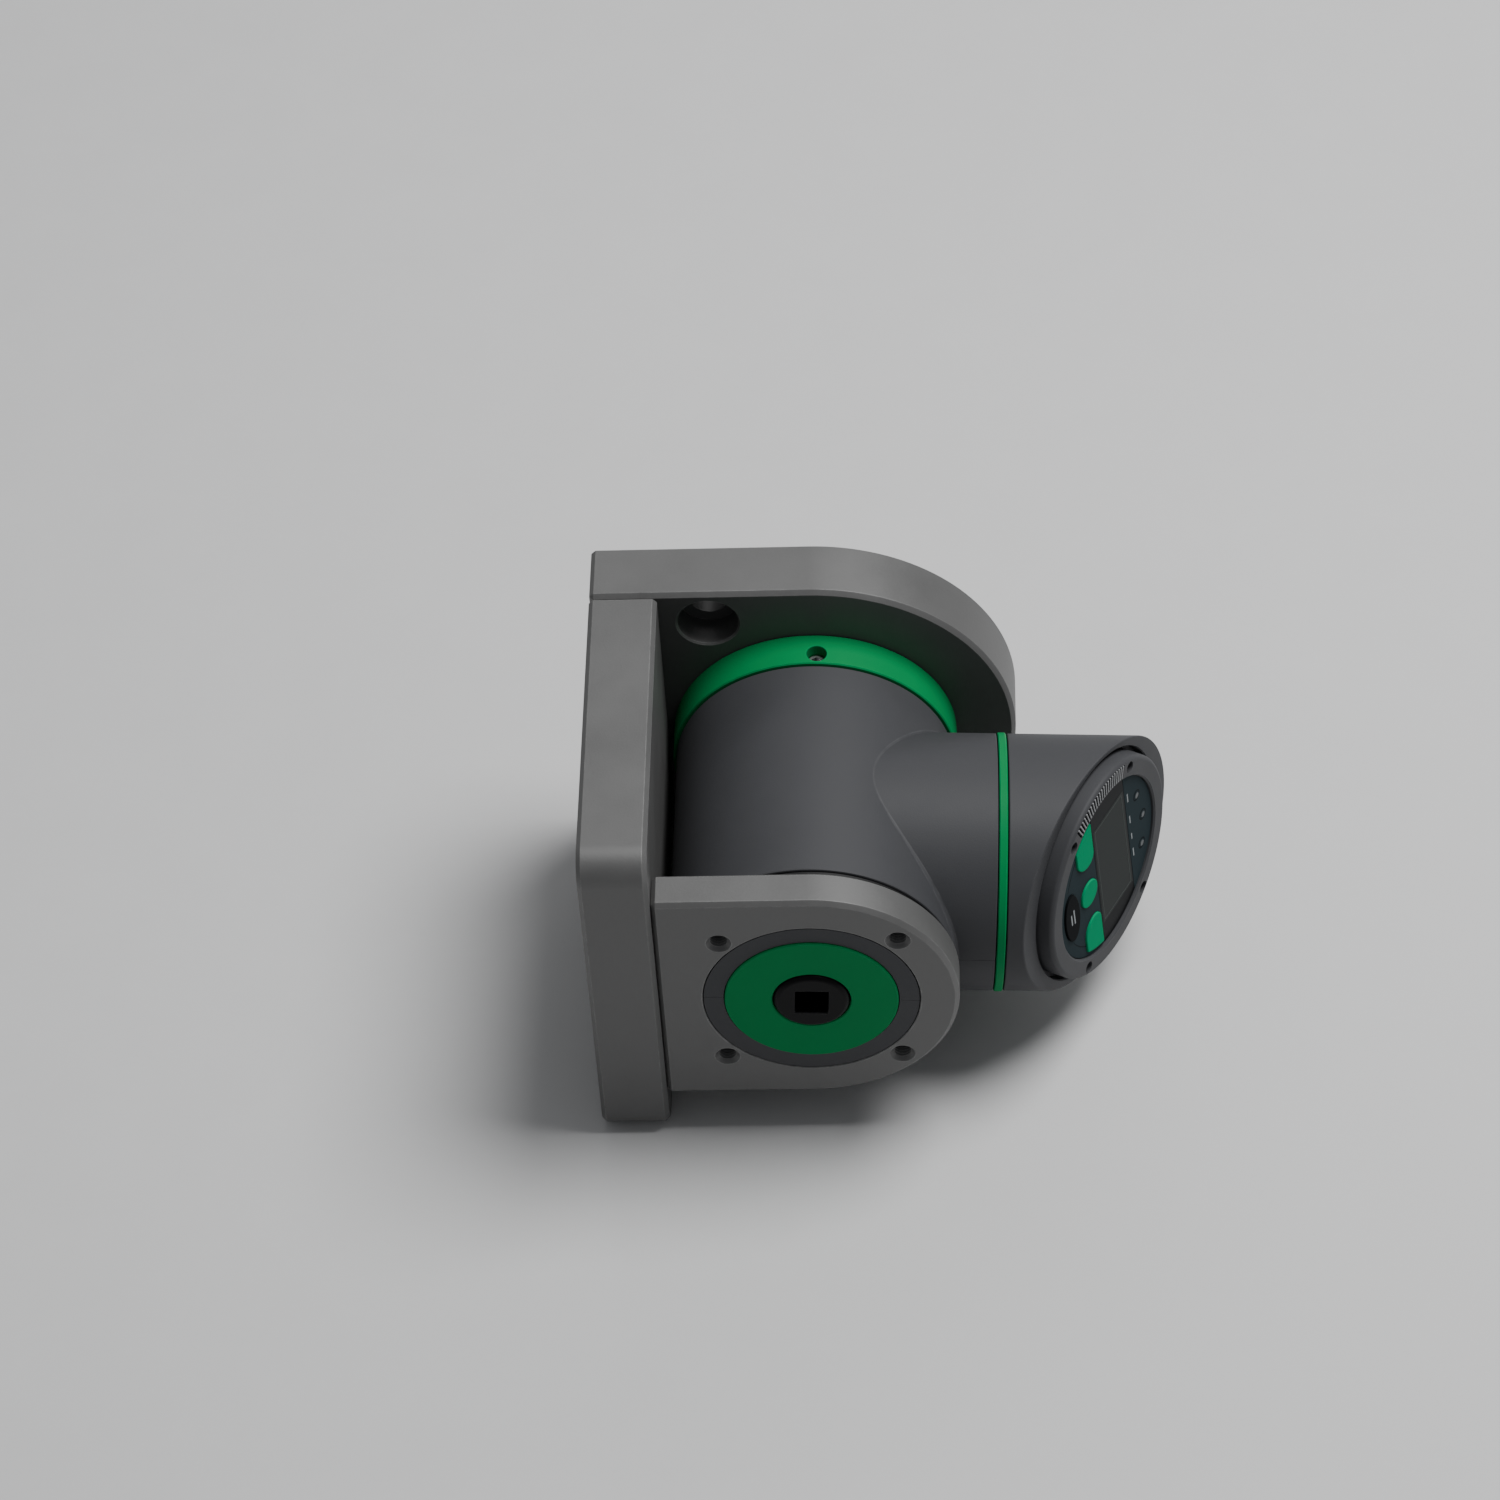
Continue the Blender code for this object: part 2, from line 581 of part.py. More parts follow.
def bracket_fasteners(root):
    rear = BACK_FACE_Y + BACK_THICK
    middle_x = -HUB_TO_SIDE + SIDE_THICK / 2
    head = rear - 2 * PLATE_SCREW_R
    sections = [
        (PLATE_SCREW_R, BACK_FACE_Y - PLATE_SCREW_REACH, head),
        (PLATE_SCREW_HEAD_R, head, rear - GAP),
    ]
    places = [(middle_x, -z) for z in (-PLATE_SCREW_SPREAD, 0.0, PLATE_SCREW_SPREAD)]
    made = screws("plate_screw", places, sections, "black_steel", root, ALONG_Y)
    hex_sockets(made, places, PLATE_SCREW_R, rear - PLATE_SCREW_R, rear + OVERCUT, ALONG_Y, root)
    pins = [(middle_x, -z) for z in (-PIN_SPREAD, PIN_SPREAD)]
    sections = [(PIN_R, BACK_FACE_Y - PIN_LENGTH / 2, BACK_FACE_Y + PIN_LENGTH / 2)]
    screws("dowel_pin", pins, sections, "bright_steel", root, ALONG_Y)
    start_x = -HUB_TO_SIDE + SIDE_THICK + GAP
    head = -HUB_TO_SIDE + 2 * ARM_SCREW_R
    sections = [
        (ARM_SCREW_HEAD_R, -HUB_TO_SIDE + GAP, head),
        (ARM_SCREW_R, head, start_x + ARM_SCREW_REACH),
    ]
    places = [(-z, ARM_THICK / 2) for z in (-ARM_SCREW_SPREAD, ARM_SCREW_SPREAD)]
    made = screws("arm_screw", places, sections, "black_steel", root, ALONG_X)
    outside = -HUB_TO_SIDE - OVERCUT
    hex_sockets(made, places, ARM_SCREW_R, outside, -HUB_TO_SIDE + ARM_SCREW_R, ALONG_X, root)


# ---------------------------------------------------------------- drive and transducer
def drive_hub(seat):
    front = -HUB_PROUD
    end = front + HUB_LENGTH
    corner = arc((HUB_R - HUB_ROUNDING, front + HUB_ROUNDING), HUB_ROUNDING, 0.0, -math.pi / 2, 3)
    profile = [(0.0, end), (HUB_R, end)] + corner + [(0.0, front)]
    hub = turned("drive_hub", profile, "black_steel", seat, ALONG_Y, ROUND_MEDIUM, closed=False)
    half = SQUARE_SIDE / 2
    mesh = box_mesh("cut_square", (-half, front - OVERCUT, -half), (half, front + SQUARE_DEPTH, half))
    boolean(hub, add_part("cut_square", mesh, None, seat))


def transducer(seat):
    disc = ring_profile(HUB_R + GAP, DISC_R, -DISC_PROUD, DISC_THICK - DISC_PROUD)
    turned("hub_disc", disc, "green_finish", seat, ALONG_Y, ROUND_LARGE)
    front = DISC_THICK - DISC_PROUD + GAP
    bore_end = -HUB_PROUD + HUB_LENGTH + GAP
    flange_start = BARREL_END_Y + 2 * GAP
    foot_start = flange_start - FOOT_THICK
    torsion_end = foot_start - SHOULDER_LENGTH
    slope = SHOULDER_R - TORSION_R
    profile = [
        (0.0, RING_END_Y + SPIGOT_LENGTH),
        (SPIGOT_R, RING_END_Y + SPIGOT_LENGTH),
        (SPIGOT_R, RING_END_Y),
        (FLANGE_R, RING_END_Y),
        (FLANGE_R, flange_start),
        (JOURNAL_R, flange_start),
        (JOURNAL_R, foot_start),
        (SHOULDER_R, foot_start),
        (SHOULDER_R, torsion_end),
        (TORSION_R, torsion_end - slope),
        (TORSION_R, TORSION_START_Y + slope),
        (SHOULDER_R, TORSION_START_Y),
        (SHOULDER_R, JOURNAL_END_Y),
        (JOURNAL_R, JOURNAL_END_Y),
        (JOURNAL_R, front),
        (HUB_R + GAP, front),
        (HUB_R + GAP, bore_end),
        (0.0, bore_end),
    ]
    shaft = turned("torsion_shaft", profile, "bright_steel", seat, ALONG_Y, ROUND_LARGE, closed=False)
    near = TORSION_R + GAP
    middle = (TORSION_START_Y + torsion_end) / 2
    width, length, thick = GAUGE_SIZE
    for number in (1, 2):
        low = (-width / 2, near, middle - length / 2)
        high = (width / 2, near + thick, middle + length / 2)
        gauge = bmesh.new()
        add_box(gauge, low, high, number * math.pi)
        name = f"strain_gauge_{number}"
        add_part(name, mesh_of(name, gauge), "gauge_foil", seat, ALONG_Y)
    return shaft


def flange_fasteners(root, shaft):
    """The screws that hold the transducer's flange to the back plate, from the rear."""
    rear = BACK_FACE_Y + BACK_THICK
    tip = RING_END_Y - FLANGE_SCREW_REACH
    head = rear - 2 * FLANGE_SCREW_R
    places = spread_circle(FLANGE_SCREW_CIRCLE, 4, math.pi / 4)
    threads = [(FLANGE_SCREW_R + GAP, tip - GAP, RING_END_Y + SHORT_OVERCUT)]
    holes("flange_rear", shaft, places, threads, ALONG_Y, root)
    sections = [(FLANGE_SCREW_R, tip, head), (FLANGE_SCREW_HEAD_R, head, rear - GAP)]
    made = screws("flange_screw", places, sections, "black_steel", root, ALONG_Y)
    hex_sockets(made, places, FLANGE_SCREW_R, rear - FLANGE_SCREW_R, rear + OVERCUT, ALONG_Y, root)


# ---------------------------------------------------------------- housing
def boss_places():
    front = HOUSING_START_Y + BOSS_END_INSET
    back = BARREL_END_Y - BOSS_END_INSET
    return [(x, y) for x in (-BOSS_X, BOSS_X) for y in (front, back)]


def housing_outside(name, hub):
    """Barrel, neck and front collar as one solid."""
    barrel_mesh = rod_mesh(name, BARREL_R, HOUSING_START_Y, BARREL_END_Y, ROUND_LARGE)
    body = add_part(f"{name}_barrel", barrel_mesh, None, hub, ALONG_Y)
    collar_mesh = rod_mesh(name, COLLAR_R, 0.0, HOUSING_START_Y + END_WALL / 2, ROUND_LARGE)
    collar = add_part(f"{name}_collar", collar_mesh, None, hub, ALONG_Y)
    boolean(body, collar, "UNION")
    neck_mesh = rod_mesh(name, NECK_R, 0.0, NECK_END_X, ROUND_LARGE)
    neck = add_part(f"{name}_neck", neck_mesh, None, hub, ALONG_X, (0.0, NECK_Y, 0.0))
    boolean(body, neck, "UNION")
    return body


def housing_space(name, hub):
    """The hollow inside the housing, less the screw bosses and the board ribs."""
    low = HOUSING_START_Y + END_WALL
    high = BARREL_END_Y - END_WALL
    barrel_mesh = rod_mesh(name, BARREL_R - WALL, low, high, ROUND_LARGE)
    space = add_part(f"{name}_space", barrel_mesh, None, hub, ALONG_Y)
    neck_mesh = rod_mesh(name, NECK_R - WALL, 0.0, NECK_END_X - END_WALL, ROUND_LARGE)
    neck = add_part(f"{name}_neck_space", neck_mesh, None, hub, ALONG_X, (0.0, NECK_Y, 0.0))
    boolean(space, neck, "UNION")
    bosses = bmesh.new()
    for x, y in boss_places():
        add_rod(bosses, BOSS_R, -FAR, FAR, ROUND_SMALL, (x, y))
    boolean(space, add_part(f"{name}_bosses", mesh_of(name, bosses), None, hub))
    ribs = bmesh.new()
    width, length = BOARD_SIZE[:2]
    for side in (-1, 1):
        near = NECK_Y + side * (length / 2 + GAP)
        far = near + side * RIB_THICK
        low = (BOARD_X - 2 * width, min(near, far), -FAR)
        high = (BOARD_X + 2 * width, max(near, far), FAR)
        add_box(ribs, low, high)
    boolean(space, add_part(f"{name}_ribs", mesh_of(name, ribs), None, hub))
    return space


def housing_half(name, hub, side):
    """One moulded half, above (side 1) or below (side -1) the plane through both axes."""
    outside = housing_outside(f"cut_{name}", hub)
    if side > 0:
        half_space = box_mesh(name, (-FAR, -FAR, GAP / 2), (FAR, 2 * FAR, FAR))
    else:
        half_space = box_mesh(name, (-FAR, -FAR, -FAR), (FAR, 2 * FAR, -GAP / 2))
    shell = add_part(name, half_space, "case_plastic", hub)
    boolean(shell, outside, "INTERSECT")
    boolean(shell, housing_space(f"cut_{name}", hub))
    collar_bore = [(DISC_R + GAP, -OVERCUT, BARREL_END_Y + OVERCUT)]
    holes(f"{name}_bore", shell, [(0.0, 0.0)], collar_bore, ALONG_Y, hub, ROUND_LARGE)
    swivel = rod_mesh(name, SWIVEL_R + GAP, NECK_END_X - 2 * END_WALL, NECK_END_X + OVERCUT, ROUND_LARGE)
    boolean(shell, add_part(f"cut_{name}_swivel", swivel, None, hub, ALONG_X, (0.0, NECK_Y, 0.0)))
    ring_holes = [(RING_SCREW_R + GAP, BARREL_END_Y - 2 * END_WALL, BARREL_END_Y + OVERCUT)]
    places = spread_circle(RING_SCREW_CIRCLE, RING_SCREW_COUNT, math.pi / 2)
    holes(f"{name}_ring", shell, places, ring_holes, ALONG_Y, hub, ROUND_TINY)
    if side > 0:
        sections = [(CASE_SCREW_R + GAP, -OVERCUT, CASE_SCREW_TOP_Z + GAP)]
    else:
        sections = [
            (CASE_SCREW_R + GAP, CASE_SCREW_SEAT_Z - STEP_OVERLAP, OVERCUT),
            (CASE_SCREW_HEAD_R + GAP, -FAR, CASE_SCREW_SEAT_Z),
        ]
    holes(f"{name}_case", shell, boss_places(), sections, (0.0, 0.0, 0.0), hub)


def housing(hub):
    housing_half("housing_upper", hub, 1)
    housing_half("housing_lower", hub, -1)
    head = CASE_SCREW_SEAT_Z - GAP
    sections = [
        (CASE_SCREW_R, head, CASE_SCREW_TOP_Z),
        (CASE_SCREW_HEAD_R, head - 2 * CASE_SCREW_R, head),
    ]
    screws("housing_screw", boss_places(), sections, "black_steel", hub, (0.0, 0.0, 0.0), ROUND_TINY)
    washer_start = ARM_THICK + GAP
    washer = ring_profile(COLLAR_R + GAP, BARREL_R - WASHER_INSET, washer_start, washer_start + WASHER_THICK)
    turned("slide_washer", washer, "slide_plastic", hub, ALONG_Y, ROUND_LARGE)


def rear_ring(hub):
    profile = ring_profile(FLANGE_R + GAP, RING_R, RING_START_Y, RING_END_Y)
    ring = turned("rear_ring", profile, "green_finish", hub, ALONG_Y, ROUND_LARGE)
    inside = FLANGE_R - SHORT_OVERCUT
    lock_hole = rod_mesh("cut_lock", LOCK_SCREW_R + GAP, inside, RING_R + OVERCUT, ROUND_MEDIUM // 2)
    boolean(ring, add_part("cut_lock", lock_hole, None, hub, location=(0.0, LOCK_SCREW_Y, 0.0)))
    places = spread_circle(RING_SCREW_CIRCLE, RING_SCREW_COUNT, math.pi / 2)
    seat = RING_END_Y - 2 * RING_SCREW_R - GAP
    sections = [
        (RING_SCREW_R + GAP, RING_START_Y - OVERCUT, RING_END_Y - STEP_OVERLAP),
        (RING_SCREW_HEAD_R + GAP, seat, RING_END_Y + OVERCUT),
    ]
    holes("ring_screws", ring, places, sections, ALONG_Y, hub, ROUND_TINY)
    head = RING_END_Y - 2 * RING_SCREW_R
    sections = [
        (RING_SCREW_R, BARREL_END_Y - END_WALL, head),
        (RING_SCREW_HEAD_R, head, RING_END_Y - GAP),
    ]
    screws("ring_screw", places, sections, "black_steel", hub, ALONG_Y, ROUND_TINY)


def lock_screw(hub):
    """The headless screw that locks the housing's turn, on its own axis."""
    low = FLANGE_R + 2 * GAP
    high = RING_R - LOCK_SCREW_SUNK
    pivot = add_empty("lock_screw_axis", hub, (0.0, LOCK_SCREW_Y, 0.0))
    mesh = rod_mesh("lock_screw", LOCK_SCREW_R, low, high, ROUND_FINE)
    screw = add_part("lock_screw", mesh, "bright_steel", pivot)
    hexagon = LOCK_HEX_ACROSS / 2 / math.cos(math.pi / 6)
    tool = rod_mesh("cut_lock_hex", hexagon, high - LOCK_HEX_DEPTH, high + OVERCUT, 6)
    boolean(screw, add_part("cut_lock_hex", tool, None, pivot))


def power_and_board(hub):
    width, length, height = BOARD_SIZE
    low = (BOARD_X - width / 2, NECK_Y - length / 2, -height / 2)
    high = (BOARD_X + width / 2, NECK_Y + length / 2, height / 2)
    add_part("main_board", box_mesh("main_board", low, high), "board_green", hub)
    start = NECK_Y - CELL_LENGTH / 2
    end = NECK_Y + CELL_LENGTH / 2
    profile = [
        (0.0, end + CELL_TIP),
        (CELL_R / 3, end + CELL_TIP),
        (CELL_R / 3, end),
        (CELL_R, end),
        (CELL_R, start),
        (0.0, start),
    ]
    place = (CELL_X, 0.0, 0.0)
    turned("battery_cell", profile, "cell_wrap", hub, ALONG_Y, ROUND_FINE, closed=False, location=place)
    inner = CELL_R + GAP
    outer = inner + HOLDER_WALL
    outline = arc((CELL_X, 0.0), outer, -math.pi / 2, math.pi / 2, 12)
    outline += arc((CELL_X, 0.0), inner, math.pi / 2, -math.pi / 2, 12)
    mesh = outline_mesh("battery_holder", outline, -end + HOLDER_INSET, -start - HOLDER_INSET)
    add_part("battery_holder", mesh, "slide_plastic", hub, FRONT_OUTLINE)


def lead(name, points, parent):
    """A lead as a round tube through its points."""
    curve = bpy.data.curves.new(name, "CURVE")
    curve.dimensions = "3D"
    curve.bevel_depth = LEAD_R
    curve.bevel_resolution = 2
    curve.use_fill_caps = True
    curve.render_resolution_u = 0
    spline = curve.splines.new("POLY")
    spline.points.add(len(points) - 1)
    for point, place in zip(spline.points, points):
        point.co = (*place, 1.0)
    piece = bpy.data.objects.new(name, curve)
    PARTS.objects.link(piece)
    curve.materials.append(MATERIALS["lead_rubber"])
    piece.parent = parent


def bend(start, control, end, steps=8):
    """Points along a smooth bend from start to end that leans towards control."""
    places = []
    for i in range(steps + 1):
        t = i / steps
        weights = ((1 - t) ** 2, 2 * t * (1 - t), t * t)
        mixed = [sum(w * p[k] for w, p in zip(weights, (start, control, end))) for k in range(3)]
        places.append(mixed)
    return places


# ---------------------------------------------------------------- swivel
def swivel(hub):
    """The green band and the bush that holds the head to the neck, on the neck axis."""
    place = (0.0, NECK_Y, 0.0)
    band = ring_profile(SWIVEL_R + GAP, BAND_R, BAND_START_X, BAND_START_X + BAND_WIDTH)
    turned("neck_band", band, "green_finish", hub, ALONG_X, ROUND_LARGE, location=place)
    flange_end = NECK_END_X - END_WALL - GAP
    flange_start = flange_end - SWIVEL_FLANGE_THICK
    groove_end = CIRCLIP_END_X + GAP
    profile = [
        (SWIVEL_BORE_R, SWIVEL_END_X),
        (SWIVEL_R, SWIVEL_END_X),
        (SWIVEL_R, groove_end),
        (SWIVEL_R - CIRCLIP_GROOVE, groove_end),
        (SWIVEL_R - CIRCLIP_GROOVE, HEAD_WALL_END_X),
        (SWIVEL_R, HEAD_WALL_END_X),
        (SWIVEL_R, flange_end),
        (SWIVEL_FLANGE_R, flange_end),
        (SWIVEL_FLANGE_R, flange_start),
        (SWIVEL_BORE_R, flange_start),
    ]
    turned("swivel_bush", profile, "slide_plastic", hub, ALONG_X, ROUND_MEDIUM, location=place)
    groove_floor = SWIVEL_R - CIRCLIP_GROOVE + GAP
    start = CIRCLIP_GAP / 2
    outline = arc((0.0, 0.0), CIRCLIP_R, start, 2 * math.pi - start, ROUND_MEDIUM - 2)
    outline += arc((0.0, 0.0), groove_floor, 2 * math.pi - start, start, ROUND_MEDIUM - 2)
    mesh = outline_mesh("swivel_circlip", outline, CIRCLIP_START_X, CIRCLIP_END_X)
    add_part("swivel_circlip", mesh, "bright_steel", hub, ALONG_X, place)


# ---------------------------------------------------------------- head
def head_shell(pivot, slope, face):
    outside = rod_mesh("head_shell", NECK_R, HEAD_START_X, FAR, ROUND_LARGE)
    shell = add_part("head_shell", outside, "case_plastic", pivot, ALONG_X)
    end_box = box_mesh("cut_head_end", (-FAR, -FAR, 0.0), (FAR, FAR, FAR))
    boolean(shell, add_part("cut_head_end", end_box, None, slope))
    inside = rod_mesh("cut_head_space", NECK_R - WALL, HEAD_WALL_END_X, FAR, ROUND_LARGE)
    space = add_part("cut_head_space", inside, None, pivot, ALONG_X)
    under = -SEAT_DEPTH - SEAT_THICK
    roof_box = box_mesh("cut_head_roof", (-FAR, -FAR, under), (FAR, FAR, FAR))
    roof = add_part("cut_head_roof", roof_box, None, slope)
    boolean(space, roof)
    boolean(shell, space)
    before = HEAD_START_X - OVERCUT
    neck_hole = rod_mesh("cut_head_hole", SWIVEL_R + GAP, before, SWIVEL_END_X + GAP, ROUND_LARGE)
    boolean(shell, add_part("cut_head_hole", neck_hole, None, pivot, ALONG_X))
    clip_room = rod_mesh("cut_clip_room", CIRCLIP_R + GAP, CIRCLIP_START_X, CIRCLIP_END_X + GAP, ROUND_LARGE)
    boolean(shell, add_part("cut_clip_room", clip_room, None, pivot, ALONG_X))
    pocket = [(POCKET_R, -SEAT_DEPTH, OVERCUT), (SEAT_HOLE_R, under - SHORT_OVERCUT, 0.0)]
    holes("head_pocket", shell, [(0.0, 0.0)], pocket, (0.0, 0.0, 0.0), face, ROUND_LARGE)
    threads = [(BEZEL_SCREW_R + GAP, under - SHORT_OVERCUT, 0.0)]
    holes("head_threads", shell, bezel_screw_places(), threads, (0.0, 0.0, 0.0), face, ROUND_TINY)
    width, height = (size + 2 * GAP + 2 * PORT_WALL for size in PORT_SIZE)
    low = (PORT_X - width / 2, NECK_R - 2 * WALL, -height / 2)
    high = (PORT_X + width / 2, NECK_R + OVERCUT, height / 2)
    boolean(shell, add_part("cut_head_port", box_mesh("cut_head_port", low, high), None, pivot))


def usb_port(pivot):
    """The charging socket's metal shell, opening outwards through the head's long side."""
    half_x = PORT_SIZE[0] / 2 + PORT_WALL
    half_z = PORT_SIZE[1] / 2 + PORT_WALL
    mouth = NECK_R - PORT_INSET
    low = (PORT_X - half_x, mouth - PORT_DEPTH, -half_z)
    high = (PORT_X + half_x, mouth, half_z)
    port = add_part("usb_port", box_mesh("usb_port", low, high), "bright_steel", pivot)
    low = (PORT_X - half_x + PORT_WALL, mouth - PORT_DEPTH + PORT_WALL, -half_z + PORT_WALL)
    high = (PORT_X + half_x - PORT_WALL, mouth + OVERCUT, half_z - PORT_WALL)
    boolean(port, add_part("cut_port", box_mesh("cut_port", low, high), None, pivot))


def bezel_screw_places():
    angles = [side * math.pi + turn * BEZEL_SCREW_ANGLE for side in (0, 1) for turn in (-1, 1)]
    return [(BEZEL_SCREW_CIRCLE * math.cos(a), BEZEL_SCREW_CIRCLE * math.sin(a)) for a in angles]


def bezel(face):
    base = -SEAT_DEPTH + GAP
    profile = [
        (BEZEL_INNER_R + BEZEL_LIP, BEZEL_TOP),
        (BEZEL_R - BEZEL_SLOPE_RUN, BEZEL_TOP - BEZEL_SLOPE_DROP),
        (BEZEL_R, BEZEL_SHOULDER),
        (BEZEL_R, base),
        (LEDGE_R, base),
        (LEDGE_R, LEDGE_HEIGHT),
        (BEZEL_INNER_R, LEDGE_HEIGHT),
        (BEZEL_INNER_R, BEZEL_TOP - BEZEL_LIP),
    ]
    ring = turned("bezel", profile, "case_plastic", face, (0.0, 0.0, 0.0), ROUND_LARGE)
    sections = [
        (BEZEL_SCREW_R + GAP, base - OVERCUT, 0.0),
        (BEZEL_SCREW_HEAD_R + GAP, BEZEL_SCREW_SEAT, BEZEL_TOP + OVERCUT),
    ]
    holes("bezel_screws", ring, bezel_screw_places(), sections, (0.0, 0.0, 0.0), face)
    seat = BEZEL_SCREW_SEAT + GAP
    sections = [
        (BEZEL_SCREW_HEAD_R, seat, seat + 2 * BEZEL_SCREW_R),
        (BEZEL_SCREW_R, -SEAT_DEPTH - SEAT_THICK, seat),
    ]
    screws("bezel_screw", bezel_screw_places(), sections, "bright_steel", face, (0.0, 0.0, 0.0), ROUND_TINY)


def chord_outline(low, high, radius, steps):
    """The part of a disc between two level lines, low and high."""
    right_low = math.asin(low / radius)
    right_high = math.asin(high / radius)
    right = arc((0.0, 0.0), radius, right_low, right_high, steps)
    left = arc((0.0, 0.0), radius, math.pi - right_high, math.pi - right_low, steps)
    return right + left


def segment_outline(level, radius, side, steps):
    """The part of a disc above (side 1) or below (side -1) a level line."""
    start = math.asin(level / radius)
    if side > 0:
        return arc((0.0, 0.0), radius, start, math.pi - start, steps)
    return arc((0.0, 0.0), radius, math.pi - start, 2 * math.pi + start, steps)


def outer_key_outline(side, margin=0.0):
    """An outer key: flat along the window, round towards the middle, and level with the rim outside."""
    low = OUTER_KEY_LOW_Y - margin
    high = OUTER_KEY_HIGH_Y + margin
    inner = OUTER_KEY_INNER_X - margin
    rim = KEY_RIM_R + margin
    corner = OUTER_KEY_CORNER + margin
    radius = high - low - corner
    points = arc((inner + corner, high - corner), corner, math.pi / 2, math.pi, 4)
    points += arc((inner + radius, low + radius), radius, math.pi, 3 * math.pi / 2, 6)[1:]
    points += arc((0.0, 0.0), rim, math.asin(low / rim), math.asin(high / rim), 5)
    if side < 0:
        points = [(-x, y) for x, y in reversed(points)]
    return points


def key_outlines(margin=0.0):
    centre = tuple(radius + margin for radius in CENTRE_KEY_RADII)
    power = tuple(radius + margin for radius in POWER_KEY_RADII)
    return {
        "key_left": outer_key_outline(-1, margin),
        "key_right": outer_key_outline(1, margin),
        "key_centre": ellipse((0.0, CENTRE_KEY_Y), centre, 20),
        "key_power": ellipse((0.0, POWER_KEY_Y), power, 24),
    }


def face_sheets(face):
    """The keypad sheet, the window and the status sheet, which share one round seat."""
    outline = segment_outline(BAND_LOW - GAP, SHEET_R, -1, 28)
    mesh = outline_mesh("keypad_sheet", outline, SHEET_LOW, SHEET_TOP)
    keypad = add_part("keypad_sheet", mesh, "sheet_grey", face)
    for name, key in key_outlines(GAP).items():
        tool = add_part(f"cut_{name}", outline_mesh(name, key, 0.0, OVERCUT), None, face)
        boolean(keypad, tool)
    outline = chord_outline(BAND_LOW, BAND_HIGH, SHEET_R, 10)
    mesh = outline_mesh("display_window", outline, SHEET_LOW, SHEET_TOP)
    add_part("display_window", mesh, "window_glass", face)
    outline = segment_outline(BAND_HIGH + GAP, SHEET_R, 1, 20)
    mesh = outline_mesh("status_sheet", outline, SHEET_LOW, SHEET_TOP)
    status = add_part("status_sheet", mesh, "sheet_grey", face)
    led_holes = [(LED_R + GAP, 0.0, OVERCUT)]
    holes("status_leds", status, LED_PLACES, led_holes, (0.0, 0.0, 0.0), face, ROUND_TINY)


def keys(face):
    colours = {"key_power": "key_black"}
    for name, outline in key_outlines().items():
        mesh = outline_mesh(name, outline, KEY_FOOT, SHEET_TOP + KEY_PROUD)
        key = add_part(name, mesh, colours.get(name, "key_green"), face)
        bevel(key, KEY_PROUD / 2)


def face_electronics(face):
    half_width = LEDGE_R - LCD_SIDE_MARGIN
    low = (-half_width, BAND_LOW + LCD_EDGE, SHEET_LOW - GAP - LCD_THICK)
    high = (half_width, BAND_HIGH - LCD_EDGE, SHEET_LOW - GAP)
    add_part("display_module", box_mesh("display_module", low, high), "display_grey", face)
    top = -BOARD_DEPTH
    board = rod_mesh("display_board", LEDGE_R - GAP, top - BOARD_THICK, top, ROUND_MEDIUM)
    add_part("display_board", board, "board_green", face)
    sheet_top = top + GAP + SHEET_THICK
    sheet = rod_mesh("key_domes", DOME_SHEET_R, top + GAP, sheet_top, ROUND_MEDIUM, (0.0, DOME_SHEET_Y))
    domes = add_part("key_domes", sheet, "bright_steel", face)
    outer_x = (OUTER_KEY_INNER_X + KEY_RIM_R) / 2
    places = [(x, CENTRE_KEY_Y) for x in (-outer_x, outer_x, 0.0)] + [(0.0, POWER_KEY_Y)]
    rise = KEY_FOOT - KEY_TRAVEL - GAP
    shape = bmesh.new()
    for place in places:
        add_rod(shape, DOME_R, top + GAP + SHEET_THICK / 2, rise, ROUND_SMALL, place)
    boolean(domes, add_part("cut_domes", mesh_of("cut_domes", shape), None, face), "UNION")
    sections = [(LED_R, top + GAP, SHEET_TOP + LED_PROUD)]
    screws("led_light", LED_PLACES, sections, "led_clear", face, (0.0, 0.0, 0.0), ROUND_TINY)
    under = top - BOARD_THICK - GAP
    mesh = rod_mesh("buzzer", BUZZER_R, under - BUZZER_THICK, under, ROUND_FINE)
    add_part("buzzer", mesh, "slide_plastic", face)


def seat_on_ground(root):
    """Moves the tester so that its box stands centred over the origin."""
    bpy.context.view_layer.update()
    graph = bpy.context.evaluated_depsgraph_get()
    corners = []
    for piece in PARTS.objects:
        shown = piece.evaluated_get(graph)
        mesh = shown.to_mesh()
        corners += [shown.matrix_world @ vertex.co for vertex in mesh.vertices]
        shown.to_mesh_clear()
    low = [min(corner[k] for corner in corners) for k in range(3)]
    high = [max(corner[k] for corner in corners) for k in range(3)]
    root.location = (-(low[0] + high[0]) / 2, -(low[1] + high[1]) / 2, -low[2])
    bpy.context.view_layer.update()


